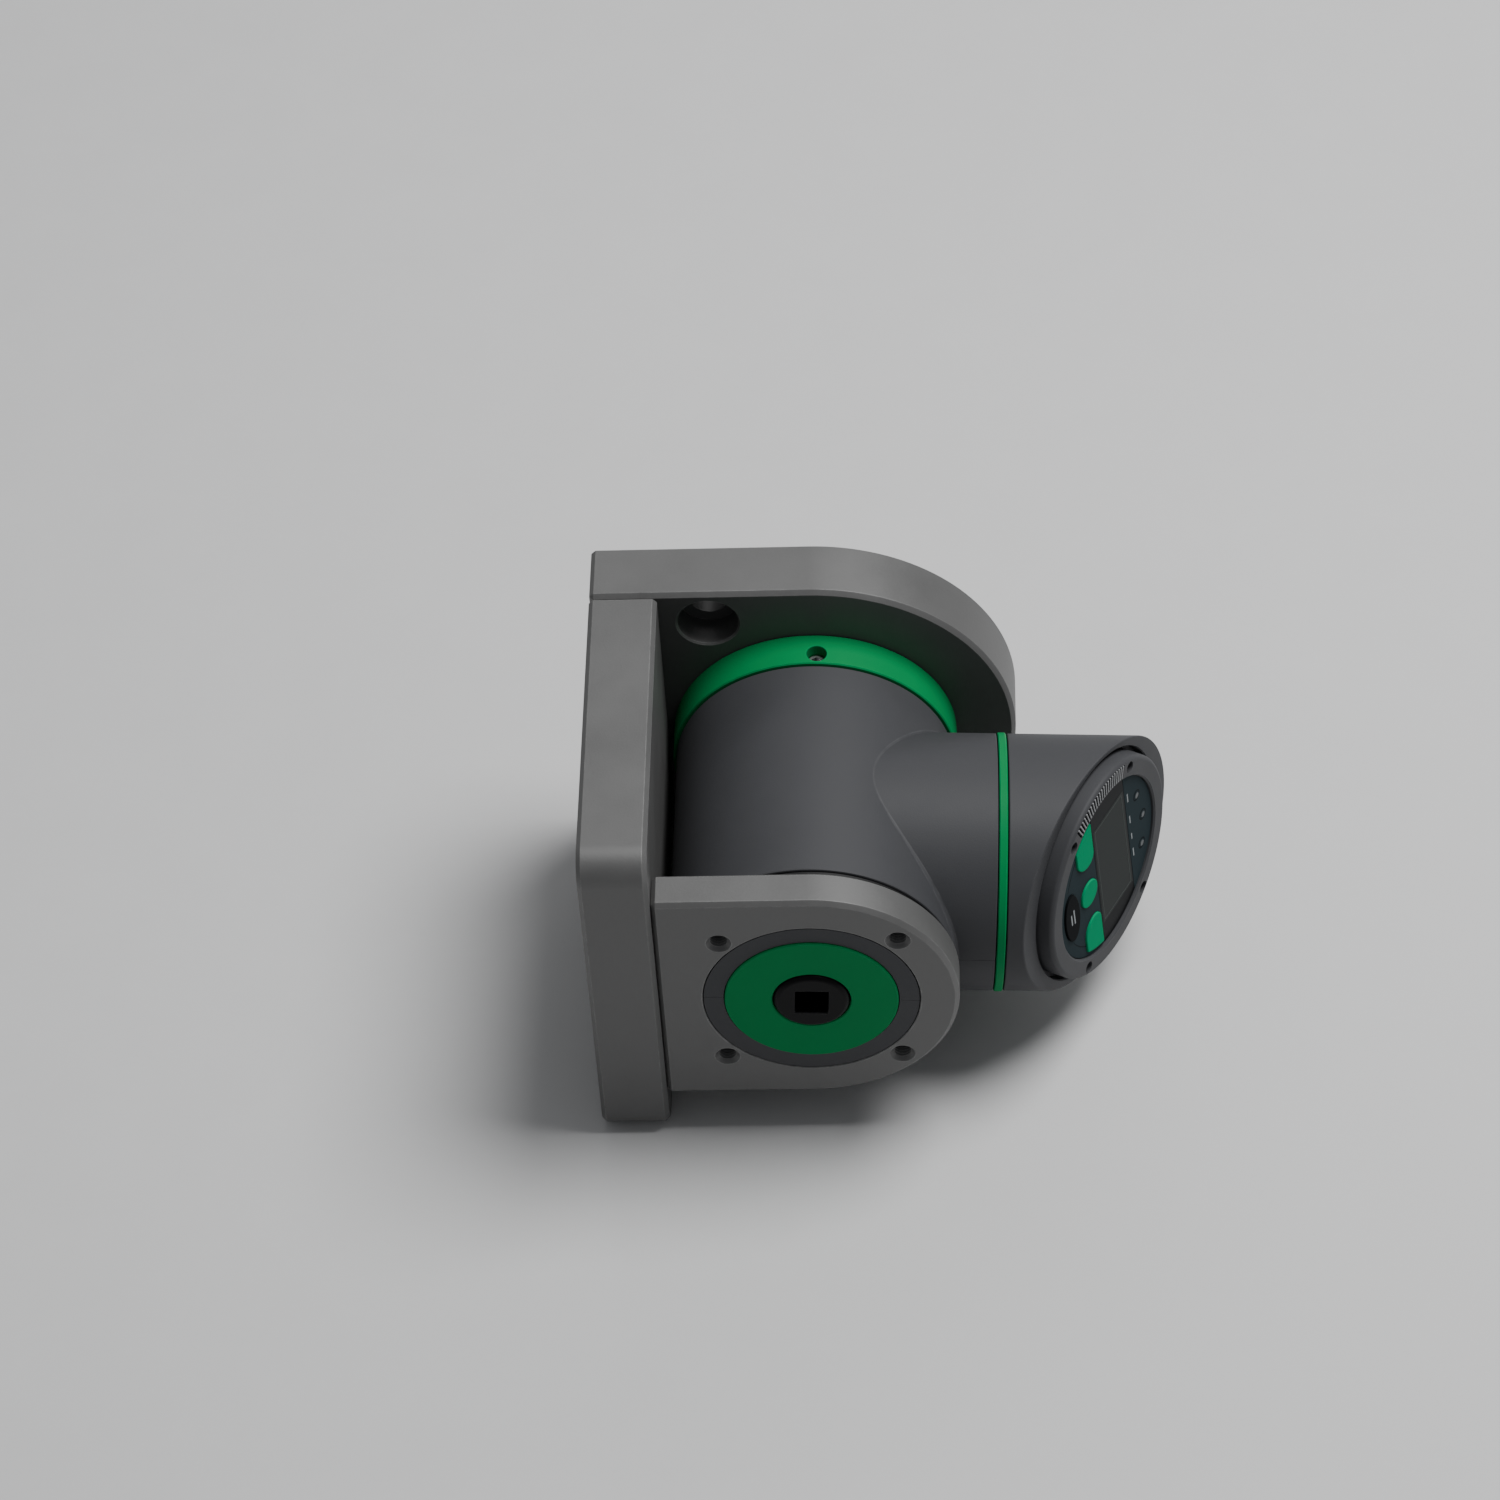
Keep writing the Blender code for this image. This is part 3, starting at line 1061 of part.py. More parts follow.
def build():
    root = add_empty("tester")
    side_plate(root)
    back_plate(root)
    front_arm(root)
    bracket_fasteners(root)

    seat = add_empty("transducer_seat", root, rotation=(0.0, TRANSDUCER_TURN, 0.0))
    drive_hub(seat)
    shaft = transducer(seat)
    flange_fasteners(root, shaft)

    hub = add_empty("housing_pivot", root, rotation=(0.0, HOUSING_TURN, 0.0))
    housing(hub)
    rear_ring(hub)
    lock_screw(hub)
    power_and_board(hub)
    swivel(hub)

    pivot = add_empty("head_pivot", hub, (0.0, NECK_Y, 0.0), (-HEAD_TURN, 0.0, 0.0))
    outward = Vector((math.cos(SLANT), -math.sin(SLANT), 0.0))
    upward = Vector((math.sin(SLANT), math.cos(SLANT), 0.0))
    rightward = upward.cross(outward)
    tilt = Matrix((rightward, upward, outward)).transposed().to_euler()
    slope = add_empty("face_slope", pivot, (FACE_X, 0.0, 0.0), tilt)
    face = add_empty("face_frame", slope, rotation=(0.0, 0.0, FACE_TURN))
    head_shell(pivot, slope, face)
    usb_port(pivot)
    bezel(face)
    face_sheets(face)
    keys(face)
    face_electronics(face)

    meeting_x = BAND_START_X + BAND_WIDTH / 2
    low_z = -BOARD_SIZE[2] / 2 + LEAD_R
    board_edge = (BOARD_X + BOARD_SIZE[0] / 2 + GAP, NECK_Y, low_z)
    below_cell = (CELL_X + CELL_R, NECK_Y, low_z)
    turning = (NECK_END_X - CELL_R, NECK_Y, low_z / 2)
    route = [board_edge]
    route += bend(below_cell, (turning[0], NECK_Y, low_z), turning, 4)
    route += bend(turning, (turning[0], NECK_Y, 0.0), (meeting_x - GAP / 2, NECK_Y, 0.0), 5)[1:]
    lead("lead_housing", route, hub)
    depth = BOARD_DEPTH + BOARD_THICK + LEAD_R + 2 * GAP
    board_back = Vector((FACE_X, 0.0, 0.0)) + upward * LEAD_LANDING - outward * depth
    control = (HEAD_WALL_END_X + LEAD_BEND, 0.0, 0.0)
    lead("lead_head", bend((meeting_x + GAP / 2, 0.0, 0.0), control, board_back, 6), pivot)
    seat_on_ground(root)


build()
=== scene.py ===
"""Looks of the torque wrench tester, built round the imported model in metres."""

import json
import math

import bmesh
import bpy
from mathutils import Matrix, Vector


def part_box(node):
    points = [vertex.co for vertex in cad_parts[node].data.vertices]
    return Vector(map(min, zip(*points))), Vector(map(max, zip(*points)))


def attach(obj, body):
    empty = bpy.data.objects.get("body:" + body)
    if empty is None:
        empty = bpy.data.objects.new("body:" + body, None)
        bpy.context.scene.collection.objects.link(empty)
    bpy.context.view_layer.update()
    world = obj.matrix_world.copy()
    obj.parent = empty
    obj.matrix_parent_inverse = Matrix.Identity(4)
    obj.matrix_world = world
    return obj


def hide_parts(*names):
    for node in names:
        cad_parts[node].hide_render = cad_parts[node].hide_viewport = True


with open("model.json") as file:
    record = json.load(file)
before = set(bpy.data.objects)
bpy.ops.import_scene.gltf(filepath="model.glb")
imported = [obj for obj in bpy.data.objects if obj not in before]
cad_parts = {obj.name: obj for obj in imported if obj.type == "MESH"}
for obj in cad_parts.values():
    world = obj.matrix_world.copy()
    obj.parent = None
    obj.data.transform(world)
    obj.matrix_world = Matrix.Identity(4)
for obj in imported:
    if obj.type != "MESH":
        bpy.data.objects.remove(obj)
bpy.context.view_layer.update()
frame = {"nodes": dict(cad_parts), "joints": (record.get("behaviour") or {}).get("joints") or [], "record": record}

MM = 0.001
ROUND = 160
ROUND_HOLE = 40
SEAM = 0.12 * MM
PAST = 5 * MM
FAR = 150 * MM
SHARP_ANGLE = math.radians(16)
FILLET_R = 1.2 * MM
FILLET_SINK = 0.3 * MM
FILLET_STEPS = 8

# ---------------------------------------------------------------- places, from the frame
JOINTS = {joint["name"]: joint for joint in frame["joints"]}
ARM_LOW, ARM_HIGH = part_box("front_arm")
SIDE_LOW, SIDE_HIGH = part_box("side_plate")
BACK_LOW, BACK_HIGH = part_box("back_plate")
RING_LOW, RING_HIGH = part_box("rear_ring")
HUB_POINT = Vector(JOINTS["housing_turn"]["pos_m"])
NECK_AXIS = Vector(JOINTS["head_turn"]["axis"]).normalized()
LOCK_AXIS = Vector(JOINTS["lock_screw_turn"]["axis"]).normalized()
FRONT_Y = ARM_LOW.y
ORIGIN = Vector((HUB_POINT.x, FRONT_Y, HUB_POINT.z))
NECK_Y = HUB_POINT.y - FRONT_Y
BACK_Y = BACK_LOW.y - FRONT_Y
REAR_Y = BACK_HIGH.y - FRONT_Y
ARM_THICK = ARM_HIGH.y - FRONT_Y
ARM_HALF = (ARM_HIGH.z - ARM_LOW.z) / 2
SIDE_X = SIDE_LOW.x - ORIGIN.x
SIDE_INNER_X = SIDE_HIGH.x - ORIGIN.x
PLATE_HALF = (BACK_HIGH.z - BACK_LOW.z) / 2
RING_START = RING_LOW.y - FRONT_Y
RING_END = RING_HIGH.y - FRONT_Y

# ---------------------------------------------------------------- sizes, as in the CAD
PLATE_BEVEL = 1.3 * MM
SIDE_CORNER = 9 * MM
SIDE_LEAD = 1.0 * MM
ARM_HOLE_CIRCLE = 36 * MM
THREAD_R = 3.0 * MM
THREAD_DEPTH = 0.5 * MM
THREAD_PITCH = 1.0 * MM
COLLAR_R = 31 * MM
MOUNT_X = -29.7 * MM
MOUNT_Z = 47.8 * MM
MOUNT_R = 5.5 * MM
MOUNT_BORE_R = 9 * MM
MOUNT_BORE_DEPTH = 10 * MM
HUB_R = 11 * MM
HUB_PROUD = 1.3 * MM
HUB_ROUND = 1.6 * MM
HUB_LENGTH = 16.6 * MM
SQUARE = 9.53 * MM
SQUARE_DEPTH = 11.2 * MM
DISC_R = 25 * MM
DISC_PROUD = 0.4 * MM
DISC_THICK = 3.4 * MM
BARREL_R = 41.3 * MM
BARREL_START = 13.6 * MM
WALL = 2.5 * MM
END_WALL = 3 * MM
NECK_R = 37.7 * MM
NECK_END = 52.9 * MM
BAND_R = 37.95 * MM
BAND_START = 53.2 * MM
BAND_WIDTH = 2.45 * MM
HEAD_START = 55.95 * MM
SWIVEL_R = 22.2 * MM
RING_R = 42.3 * MM
FLANGE_R = 31.4 * MM
HEAD_TURN = math.radians(13.3)
SLANT = math.radians(30.1)
FACE_TURN = math.radians(14.5)
HEAD_SHORT_SIDE = 4.85 * MM
FACE_X = HEAD_START + HEAD_SHORT_SIDE + NECK_R * math.tan(SLANT)
SEAT_DEPTH = 3.3 * MM
SEAT_THICK = 2.7 * MM
POCKET_R = 36 * MM
SEAT_HOLE_R = 26.2 * MM
BEZEL_R = 34.6 * MM
BEZEL_INNER_R = 28.4 * MM
BEZEL_TOP = 4.6 * MM
LEDGE_R = 27.4 * MM
LEDGE_HEIGHT = 2.8 * MM
SHEET_LOW = 3.1 * MM
SHEET_TOP = 3.6 * MM
SHEET_R = 28.1 * MM
BEZEL_SCREW_CIRCLE = 31.6 * MM
BEZEL_SCREW_ANGLE = math.radians(33)
BEZEL_SCREW_R = 1.6 * MM
BAND_LOW = -5.6 * MM
BAND_HIGH = 13.9 * MM
KEY_TOP = 4.2 * MM
KEY_FOOT = 1.2 * MM
KEY_GAP = 0.12 * MM

# ---------------------------------------------------------------- sizes that only the looks need
ROUND_SCREW = 48
ROUND_MOUNT = 64
ROUND_RECESS = 80
ROUND_SHEET = 64
HEX = 6
EDGE_ROUND = 0.18 * MM
ARM_SCREW_HEIGHTS = [z * MM for z in (-29, 29)]
PLATE_SCREW_HEIGHTS = [z * MM for z in (-38, 0, 38)]
FLANGE_SCREW_CIRCLE = 24 * MM
SMALL_SCREW = (3 * MM, 5 * MM, 6 * MM)  # shank radius, head radius, depth of the seat
LARGE_SCREW = (4 * MM, 6.5 * MM, 8 * MM)
SMALL_WELL = (5.3, 6.3)  # radius and depth in millimetres
LARGE_WELL = (6.8, 8.3)
WELL_LEAD = 0.8  # in millimetres
WELL_LEAD_DEPTH = 0.4 * MM
SCREW_SUNK = 0.3 * MM
SCREW_EDGE = 0.5 * MM
SCREW_SHANK = 2 * MM
SCREW_KEY = 0.86  # of the shank's radius
SCREW_KEY_DEPTH = 1.1  # of the shank's radius
ARM_WELL_MOUTH_R = 6.1 * MM
ARM_WELL_THROAT_R = 5.2 * MM
MOUNT_LEAD = 1.0 * MM
MOUNT_LEAD_DEPTH = 0.5 * MM
THREAD_LEAD = 0.7 * MM
COLLAR_GAP = 0.3 * MM
COLLAR_LEAD = 0.8 * MM
COLLAR_LEAD_DEPTH = 0.25 * MM
WASHER_START = 12.3 * MM
WASHER_END = 13.3 * MM
WASHER_STEP = 0.6 * MM
SQUARE_CORNER = 0.5 * MM
DETENT_R = 1.7 * MM
DETENT_Y = 5 * MM
RING_EDGE = 0.35 * MM
DISC_EDGE = 0.3 * MM
HOUSING_SCREW_X = 30.5 * MM
HOUSING_SCREW_R = 3 * MM
HOUSING_SCREW_INSET = 8 * MM
HOUSING_SCREW_TOP = -14 * MM
LOCK_BORE_R = 3 * MM
LOCK_R = 2.7 * MM
LOCK_SUNK = 3.6 * MM
LOCK_KEY_R = 1.73 * MM
LOCK_KEY_DEPTH = 3 * MM
PORT_X = 78 * MM
PORT_SUNK = 0.5 * MM
PORT_LENGTH = 7 * MM
SCREW_TOP_ON_BEZEL = 3.3 * MM
BEZEL_ROUND = 1.5 * MM
BEZEL_EDGE = 0.5 * MM
OUTER_KEY_LOW = -15.8 * MM
OUTER_KEY_HIGH = -6.4 * MM
OUTER_KEY_INNER = 11 * MM
OUTER_KEY_RIM = 26.7 * MM
OUTER_KEY_CORNER = 3.6 * MM
KEY_ROUND = 0.35 * MM
SHEET_SEAM = 0.15 * MM
PRINT_SUNK = 0.01 * MM
PRINT_PROUD = 0.03 * MM
PANE_PROUD = 0.04 * MM
PANE_HALF_X = 20 * MM
PANE_LOW = -5.0 * MM
PANE_HIGH = 13.3 * MM
PANE_EDGE_INSET = 1.0 * MM
PANE_EDGE_WIDTH = 0.22 * MM
STATUS_LINE_Y = 15.6 * MM
RIB_COUNT = 23
RIB_PITCH = math.radians(2.3)
RIB_SLOT = 0.68 * MM
RIB_DEPTH = 1.1 * MM
RIB_INNER = 29.4 * MM
RIB_OUTER = 33.6 * MM
RIB_WIDTH = 0.5 * MM
RIB_PROUD = 0.2 * MM


# ---------------------------------------------------------------- frames
def axes(x, y, z, origin=(0.0, 0.0, 0.0)):
    """A frame whose local axes point along x, y and z."""
    return Matrix.Translation(origin) @ Matrix((x, y, z)).transposed().to_4x4()


X, Y, Z = Vector((1, 0, 0)), Vector((0, 1, 0)), Vector((0, 0, 1))
BRACKET = Matrix.Translation(ORIGIN)
HOUSING = axes(NECK_AXIS, Y, LOCK_AXIS, ORIGIN)
NECK = HOUSING @ Matrix.Translation((0, NECK_Y, 0))
HEAD = NECK @ Matrix.Rotation(-HEAD_TURN, 4, "X")
OUTWARD = Vector((math.cos(SLANT), -math.sin(SLANT), 0))
UPWARD = Vector((math.sin(SLANT), math.cos(SLANT), 0))
SLOPE = HEAD @ axes(UPWARD.cross(OUTWARD), UPWARD, OUTWARD, (FACE_X, 0, 0))
FACE = SLOPE @ Matrix.Rotation(FACE_TURN, 4, "Z")
ALONG_Y = axes(X, -Z, Y)
ALONG_X = axes(-Z, Y, X)
FLAT_FRONT = axes(X, Z, -Y)
FLAT_SIDE = axes(Y, Z, X)
PORT = HEAD @ Matrix.Translation((PORT_X, 0, 0)) @ axes(X, -Z, Y)


# ---------------------------------------------------------------- shapes
def rod(radius, low, high, segments=ROUND, centre=(0.0, 0.0), tip=None):
    """A cylinder or cone along local Z."""
    shape = bmesh.new()
    place = Matrix.Translation((centre[0], centre[1], (low + high) / 2))
    bmesh.ops.create_cone(
        shape,
        cap_ends=True,
        segments=segments,
        radius1=radius,
        radius2=radius if tip is None else tip,
        depth=high - low,
        matrix=place,
    )
    return shape


def block(low, high):
    shape = bmesh.new()
    size = [b - a for a, b in zip(low, high)]
    middle = [(a + b) / 2 for a, b in zip(low, high)]
    bmesh.ops.create_cube(shape, size=1.0, matrix=Matrix.Translation(middle) @ Matrix.Diagonal((*size, 1.0)))
    return shape


def lathe(profile, segments=ROUND, closed=True, centre=(0.0, 0.0)):
    """A profile of (radius, height) points turned about local Z."""
    shape = bmesh.new()
    corners = [shape.verts.new((radius, 0.0, height)) for radius, height in profile]
    edges = [shape.edges.new(pair) for pair in zip(corners, corners[1:])]
    if closed:
        edges.append(shape.edges.new((corners[-1], corners[0])))
    bmesh.ops.spin(
        shape,
        geom=corners + edges,
        cent=(0.0, 0.0, 0.0),
        axis=(0.0, 0.0, 1.0),
        angle=2 * math.pi,
        steps=segments,
        use_merge=True,
    )
    bmesh.ops.remove_doubles(shape, verts=shape.verts, dist=0.001 * MM)
    bmesh.ops.recalc_face_normals(shape, faces=shape.faces)
    bmesh.ops.translate(shape, verts=shape.verts, vec=(*centre, 0.0))
    return shape


def prism(outline, low, high):
    """A flat outline in local XY, thickened along local Z."""
    shape = bmesh.new()
    face = shape.faces.new([shape.verts.new((x, y, low)) for x, y in outline])
    grown = bmesh.ops.extrude_face_region(shape, geom=[face])
    top = [item for item in grown["geom"] if isinstance(item, bmesh.types.BMVert)]
    bmesh.ops.translate(shape, verts=top, vec=(0.0, 0.0, high - low))
    bmesh.ops.recalc_face_normals(shape, faces=shape.faces)
    return shape


def arc(centre, radius, start, end, steps):
    angles = [start + (end - start) * i / steps for i in range(steps + 1)]
    return [(centre[0] + radius * math.cos(a), centre[1] + radius * math.sin(a)) for a in angles]


def oval(centre, radii, steps=72):
    angles = [2 * math.pi * i / steps for i in range(steps)]
    return [(centre[0] + radii[0] * math.cos(a), centre[1] + radii[1] * math.sin(a)) for a in angles]


def ring(inner, outer, low, high, edge):
    """A ring's section with its four corners cut by edge."""
    return [
        (outer, high - edge), (outer, low + edge), (outer - edge, low), (inner + edge, low),
        (inner, low + edge), (inner, high - edge), (inner + edge, high), (outer - edge, high),
    ]


def spread(radius, count, start):
    angles = [start + 2 * math.pi * i / count for i in range(count)]
    return [(radius * math.cos(a), radius * math.sin(a)) for a in angles]


def rounded_box(half_x, half_y, radius, steps=8):
    """The outline of a rectangle with round corners."""
    points = []
    for turn, (sx, sy) in enumerate(((1, 1), (-1, 1), (-1, -1), (1, -1))):
        centre = (sx * (half_x - radius), sy * (half_y - radius))
        points += arc(centre, radius, turn * math.pi / 2, (turn + 1) * math.pi / 2, steps)
    return points


# ---------------------------------------------------------------- pieces
def make(name, shape, place):
    mesh = bpy.data.meshes.new(name)
    shape.to_mesh(mesh)
    shape.free()
    mesh.transform(place)
    piece = bpy.data.objects.new(name, mesh)
    bpy.context.scene.collection.objects.link(piece)
    return piece


def settle(piece):
    """Applies a piece's modifiers."""
    graph = bpy.context.evaluated_depsgraph_get()
    mesh = bpy.data.meshes.new_from_object(piece.evaluated_get(graph))
    piece.modifiers.clear()
    piece.data = mesh


def combine(piece, tools, operation="DIFFERENCE"):
    """Cuts (shape, place) tools from a piece, or adds them to it."""
    made = []
    for number, (shape, place) in enumerate(tools):
        tool = make(f"tool_{number}", shape, place)
        modifier = piece.modifiers.new("shape", "BOOLEAN")
        modifier.operation = operation
        modifier.solver = "EXACT"
        modifier.object = tool
        made.append(tool)
    settle(piece)
    for tool in made:
        bpy.data.objects.remove(tool, do_unlink=True)


def soften(piece, width, segments=2, angle=35):
    bevel = piece.modifiers.new("edges", "BEVEL")
    bevel.width = width
    bevel.segments = segments
    bevel.limit_method = "ANGLE"
    bevel.angle_limit = math.radians(angle)
    settle(piece)


def coat(piece, material):
    piece.data.materials.clear()
    piece.data.materials.append(material)


def dress(piece, body, slot, *nodes):
    """Gives a finished piece its material and its body, and hides the CAD nodes that it stands for."""
    coat(piece, MATERIALS[slot])
    piece.data.shade_smooth()
    piece.data.set_sharp_from_angle(angle=SHARP_ANGLE)
    even = piece.modifiers.new("even_shading", "WEIGHTED_NORMAL")
    even.keep_sharp = True
    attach(piece, body)
    if nodes:
        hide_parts(*nodes)
    return piece


# ---------------------------------------------------------------- materials
def wear_and_highlight_edges(material, colour, amount, width):
    """Mixes a paler tone into the colour where the surface bends sharply within width, in broken patches: worn
    chips on the bare steel, a painted highlight on the edges of the other finishes.
    """
    nodes = material.node_tree.nodes
    link = material.node_tree.links.new
    shader = nodes["Principled BSDF"]
    rounded = nodes.new("ShaderNodeBevel")
    rounded.samples = 4
    rounded.inputs["Radius"].default_value = width
    flat = nodes.new("ShaderNodeNewGeometry")
    agree = nodes.new("ShaderNodeVectorMath")
    agree.operation = "DOT_PRODUCT"
    link(rounded.outputs["Normal"], agree.inputs[0])
    link(flat.outputs["Normal"], agree.inputs[1])
    bend = nodes.new("ShaderNodeMapRange")
    bend.inputs["From Min"].default_value = 0.985
    bend.inputs["From Max"].default_value = 0.93
    bend.inputs["To Max"].default_value = amount
    link(agree.outputs["Value"], bend.inputs["Value"])
    patches = nodes.new("ShaderNodeTexNoise")
    patches.inputs["Scale"].default_value = 260.0
    patches.inputs["Detail"].default_value = 3.0
    place = nodes.new("ShaderNodeTexCoord")
    link(place.outputs["Object"], patches.inputs["Vector"])
    broken = nodes.new("ShaderNodeMapRange")
    broken.inputs["From Min"].default_value = 0.3
    broken.inputs["From Max"].default_value = 0.6
    link(patches.outputs["Fac"], broken.inputs["Value"])
    share = nodes.new("ShaderNodeMath")
    share.operation = "MULTIPLY"
    link(bend.outputs["Result"], share.inputs[0])
    link(broken.outputs["Result"], share.inputs[1])
    mix = nodes.new("ShaderNodeMix")
    mix.data_type = "RGBA"
    link(share.outputs["Value"], mix.inputs["Factor"])
    source = shader.inputs["Base Color"].links[0].from_socket
    link(source, mix.inputs["A"])
    mix.inputs["B"].default_value = (*colour, 1.0)
    link(mix.outputs["Result"], shader.inputs["Base Color"])


def surface(
    name,
    colour,
    roughness,
    metallic=0.0,
    grain=900,
    depth=0.05,
    blotch=0.12,
    streak=None,
    shine=0.5,
    ior=1.5,
    edge_wear_and_highlight=None,
):
    """A procedural finish: fine grain in the height, slow blotches in the colour, both in the roughness.

    grain is how many grains fit a metre, depth is the grain's height in millimetres, and streak
    stretches the grain along X, Y or Z, as grinding does. shine is the specular level and ior the
    index. The last argument gives the paler edges their colour, amount and width: worn chips on
    the steel, a painted highlight on the other finishes.
    """
    material = bpy.data.materials.new(name)
    material.use_nodes = True
    nodes = material.node_tree.nodes
    link = material.node_tree.links.new
    shader = nodes["Principled BSDF"]
    shader.inputs["Metallic"].default_value = metallic
    shader.inputs["IOR"].default_value = ior
    shader.inputs["Specular IOR Level"].default_value = shine
    place = nodes.new("ShaderNodeTexCoord")
    stretch = nodes.new("ShaderNodeMapping")
    stretch.inputs["Scale"].default_value = streak or (1.0, 1.0, 1.0)
    link(place.outputs["Object"], stretch.inputs["Vector"])
    fine = nodes.new("ShaderNodeTexNoise")
    fine.inputs["Scale"].default_value = grain
    fine.inputs["Detail"].default_value = 4.0
    link(stretch.outputs["Vector"], fine.inputs["Vector"])
    slow = nodes.new("ShaderNodeTexNoise")
    slow.inputs["Scale"].default_value = 42.0
    slow.inputs["Detail"].default_value = 5.0
    slow.inputs["Roughness"].default_value = 0.6
    link(place.outputs["Object"], slow.inputs["Vector"])
    both = nodes.new("ShaderNodeMath")
    both.operation = "MULTIPLY_ADD"
    both.inputs[1].default_value = 0.35
    link(fine.outputs["Fac"], both.inputs[0])
    link(slow.outputs["Fac"], both.inputs[2])
    tones = nodes.new("ShaderNodeValToRGB")
    dark = [value * (1 - blotch) for value in colour]
    light = [min(1.0, value * (1 + blotch)) for value in colour]
    tones.color_ramp.elements[0].position = 0.45
    tones.color_ramp.elements[0].color = (*dark, 1.0)
    tones.color_ramp.elements[1].position = 0.95
    tones.color_ramp.elements[1].color = (*light, 1.0)
    link(both.outputs["Value"], tones.inputs["Fac"])
    link(tones.outputs["Color"], shader.inputs["Base Color"])
    gloss = nodes.new("ShaderNodeMapRange")
    gloss.inputs["From Min"].default_value = 0.45
    gloss.inputs["From Max"].default_value = 0.95
    gloss.inputs["To Min"].default_value = roughness * 0.9
    gloss.inputs["To Max"].default_value = min(1.0, roughness * 1.12)
    link(both.outputs["Value"], gloss.inputs["Value"])
    link(gloss.outputs["Result"], shader.inputs["Roughness"])
    bump = nodes.new("ShaderNodeBump")
    bump.inputs["Strength"].default_value = 0.5
    bump.inputs["Distance"].default_value = depth * MM
    link(fine.outputs["Fac"], bump.inputs["Height"])
    link(bump.outputs["Normal"], shader.inputs["Normal"])
    # Paler edges: worn chips on the steel, a painted highlight on the other finishes.
    if edge_wear_and_highlight:
        wear_and_highlight_edges(material, *edge_wear_and_highlight)
    return material


STEEL_GRIND = (1.0, 1.0, 0.25)
# Paler edges: on the plate steel they are worn chips; on the case plastic, the green finish and the black steel
# they are a painted highlight where the edges catch the light.
STEEL_WEAR = ((0.30, 0.30, 0.295), 0.8, 0.5 * MM)
CASE_COLOUR = (0.046, 0.047, 0.051)
CASE_EDGE_HIGHLIGHT = ((0.085, 0.086, 0.09), 0.55, 0.35 * MM)
GREEN_EDGE_HIGHLIGHT = ((0.01, 0.36, 0.14), 0.6, 0.3 * MM)
BLACK_EDGE_HIGHLIGHT = ((0.09, 0.09, 0.09), 0.7, 0.3 * MM)

MATERIALS = {
    "plate_steel": surface(
        "plate_steel", (0.118, 0.118, 0.117), 0.5, 0.4, 1500, 0.05, 0.08, STEEL_GRIND, edge_wear_and_highlight=STEEL_WEAR
    ),
    "case_plastic": surface(
        "case_plastic", CASE_COLOUR, 0.58, 0.0, 2600, 0.05, 0.06, shine=0.35, ior=1.4, edge_wear_and_highlight=CASE_EDGE_HIGHLIGHT
    ),
    "green_finish": surface(
        "green_finish", (0.0, 0.205, 0.06), 0.5, 0.0, 2200, 0.02, 0.05, shine=0.25, ior=1.2, edge_wear_and_highlight=GREEN_EDGE_HIGHLIGHT
    ),
    "black_steel": surface(
        "black_steel", (0.006, 0.006, 0.0065), 0.34, 0.0, 1800, 0.02, 0.2, shine=0.2, ior=1.3, edge_wear_and_highlight=BLACK_EDGE_HIGHLIGHT
    ),
    "bright_steel": surface("bright_steel", (0.42, 0.42, 0.43), 0.3, 1.0, 2000, 0.02, 0.1),
    "slide_plastic": surface("slide_plastic", (0.007, 0.007, 0.0075), 0.5, 0.0, 2600, 0.03, 0.15, shine=0.3),
    "board_green": surface("board_green", (0.02, 0.13, 0.05), 0.35, 0.0, 700, 0.02, 0.25),
    "cell_wrap": surface("cell_wrap", (0.05, 0.12, 0.32), 0.35, 0.0, 500, 0.05, 0.08),
    "lead_rubber": surface("lead_rubber", (0.03, 0.03, 0.03), 0.6, 0.0, 1800, 0.03, 0.15),
    "sheet_grey": surface(
        "sheet_grey", (0.024, 0.036, 0.041), 0.5, 0.0, 3000, 0.01, 0.05, shine=0.18, ior=1.1
    ),
    "window_glass": surface(
        "window_glass", (0.006, 0.007, 0.008), 0.3, 0.0, 400, 0.002, 0.1, shine=0.3, ior=1.12
    ),
    "display_grey": surface(
        "display_grey", (0.021, 0.025, 0.024), 0.3, 0.0, 400, 0.002, 0.1, shine=0.3, ior=1.12
    ),
    "key_green": surface("key_green", (0.0, 0.27, 0.115), 0.5, 0.0, 2600, 0.015, 0.04, shine=0.18, ior=1.1),
    "key_black": surface(
        "key_black", (0.007, 0.008, 0.009), 0.5, 0.0, 2600, 0.015, 0.12, shine=0.18, ior=1.1
    ),
    "led_clear": surface("led_clear", (0.04, 0.05, 0.055), 0.3, 0.0, 800, 0.005, 0.1, shine=0.3),
    "gauge_foil": surface("gauge_foil", (0.55, 0.33, 0.08), 0.35, 1.0, 900, 0.02, 0.2, (6.0, 1.0, 1.0)),
}
PRINT_LIGHT = surface("print_light", (0.30, 0.32, 0.33), 0.5, 0.0, 2600, 0.005, 0.06, shine=0.2, ior=1.1)
# Painted highlight: the bezel's ribs are the case plastic, coloured a light grey for the light that their tops
# catch.
RIB_PAINTED_HIGHLIGHT = surface("rib_painted_highlight", (0.25, 0.255, 0.26), 0.5, 0.0, 2600, 0.02, 0.08, shine=0.25, ior=1.2)
PRINT_DARK = surface("print_dark", (0.006, 0.008, 0.009), 0.45, 0.0, 2600, 0.005, 0.1, shine=0.2, ior=1.1)


def carry_over():
    """Every CAD node gets its slot's finish. The ones that a finer piece stands for are hidden later."""
    slots = {part["node"]: part["material_slot"] for part in frame["record"]["subparts"]}
    for name, node in frame["nodes"].items():
        for holder in node.material_slots:
            holder.material = MATERIALS[slots[name]]


# ---------------------------------------------------------------- bracket
def bored(radius, low, high, place, centre, segments=ROUND_HOLE):
    return rod(radius, low, high, segments, centre), place


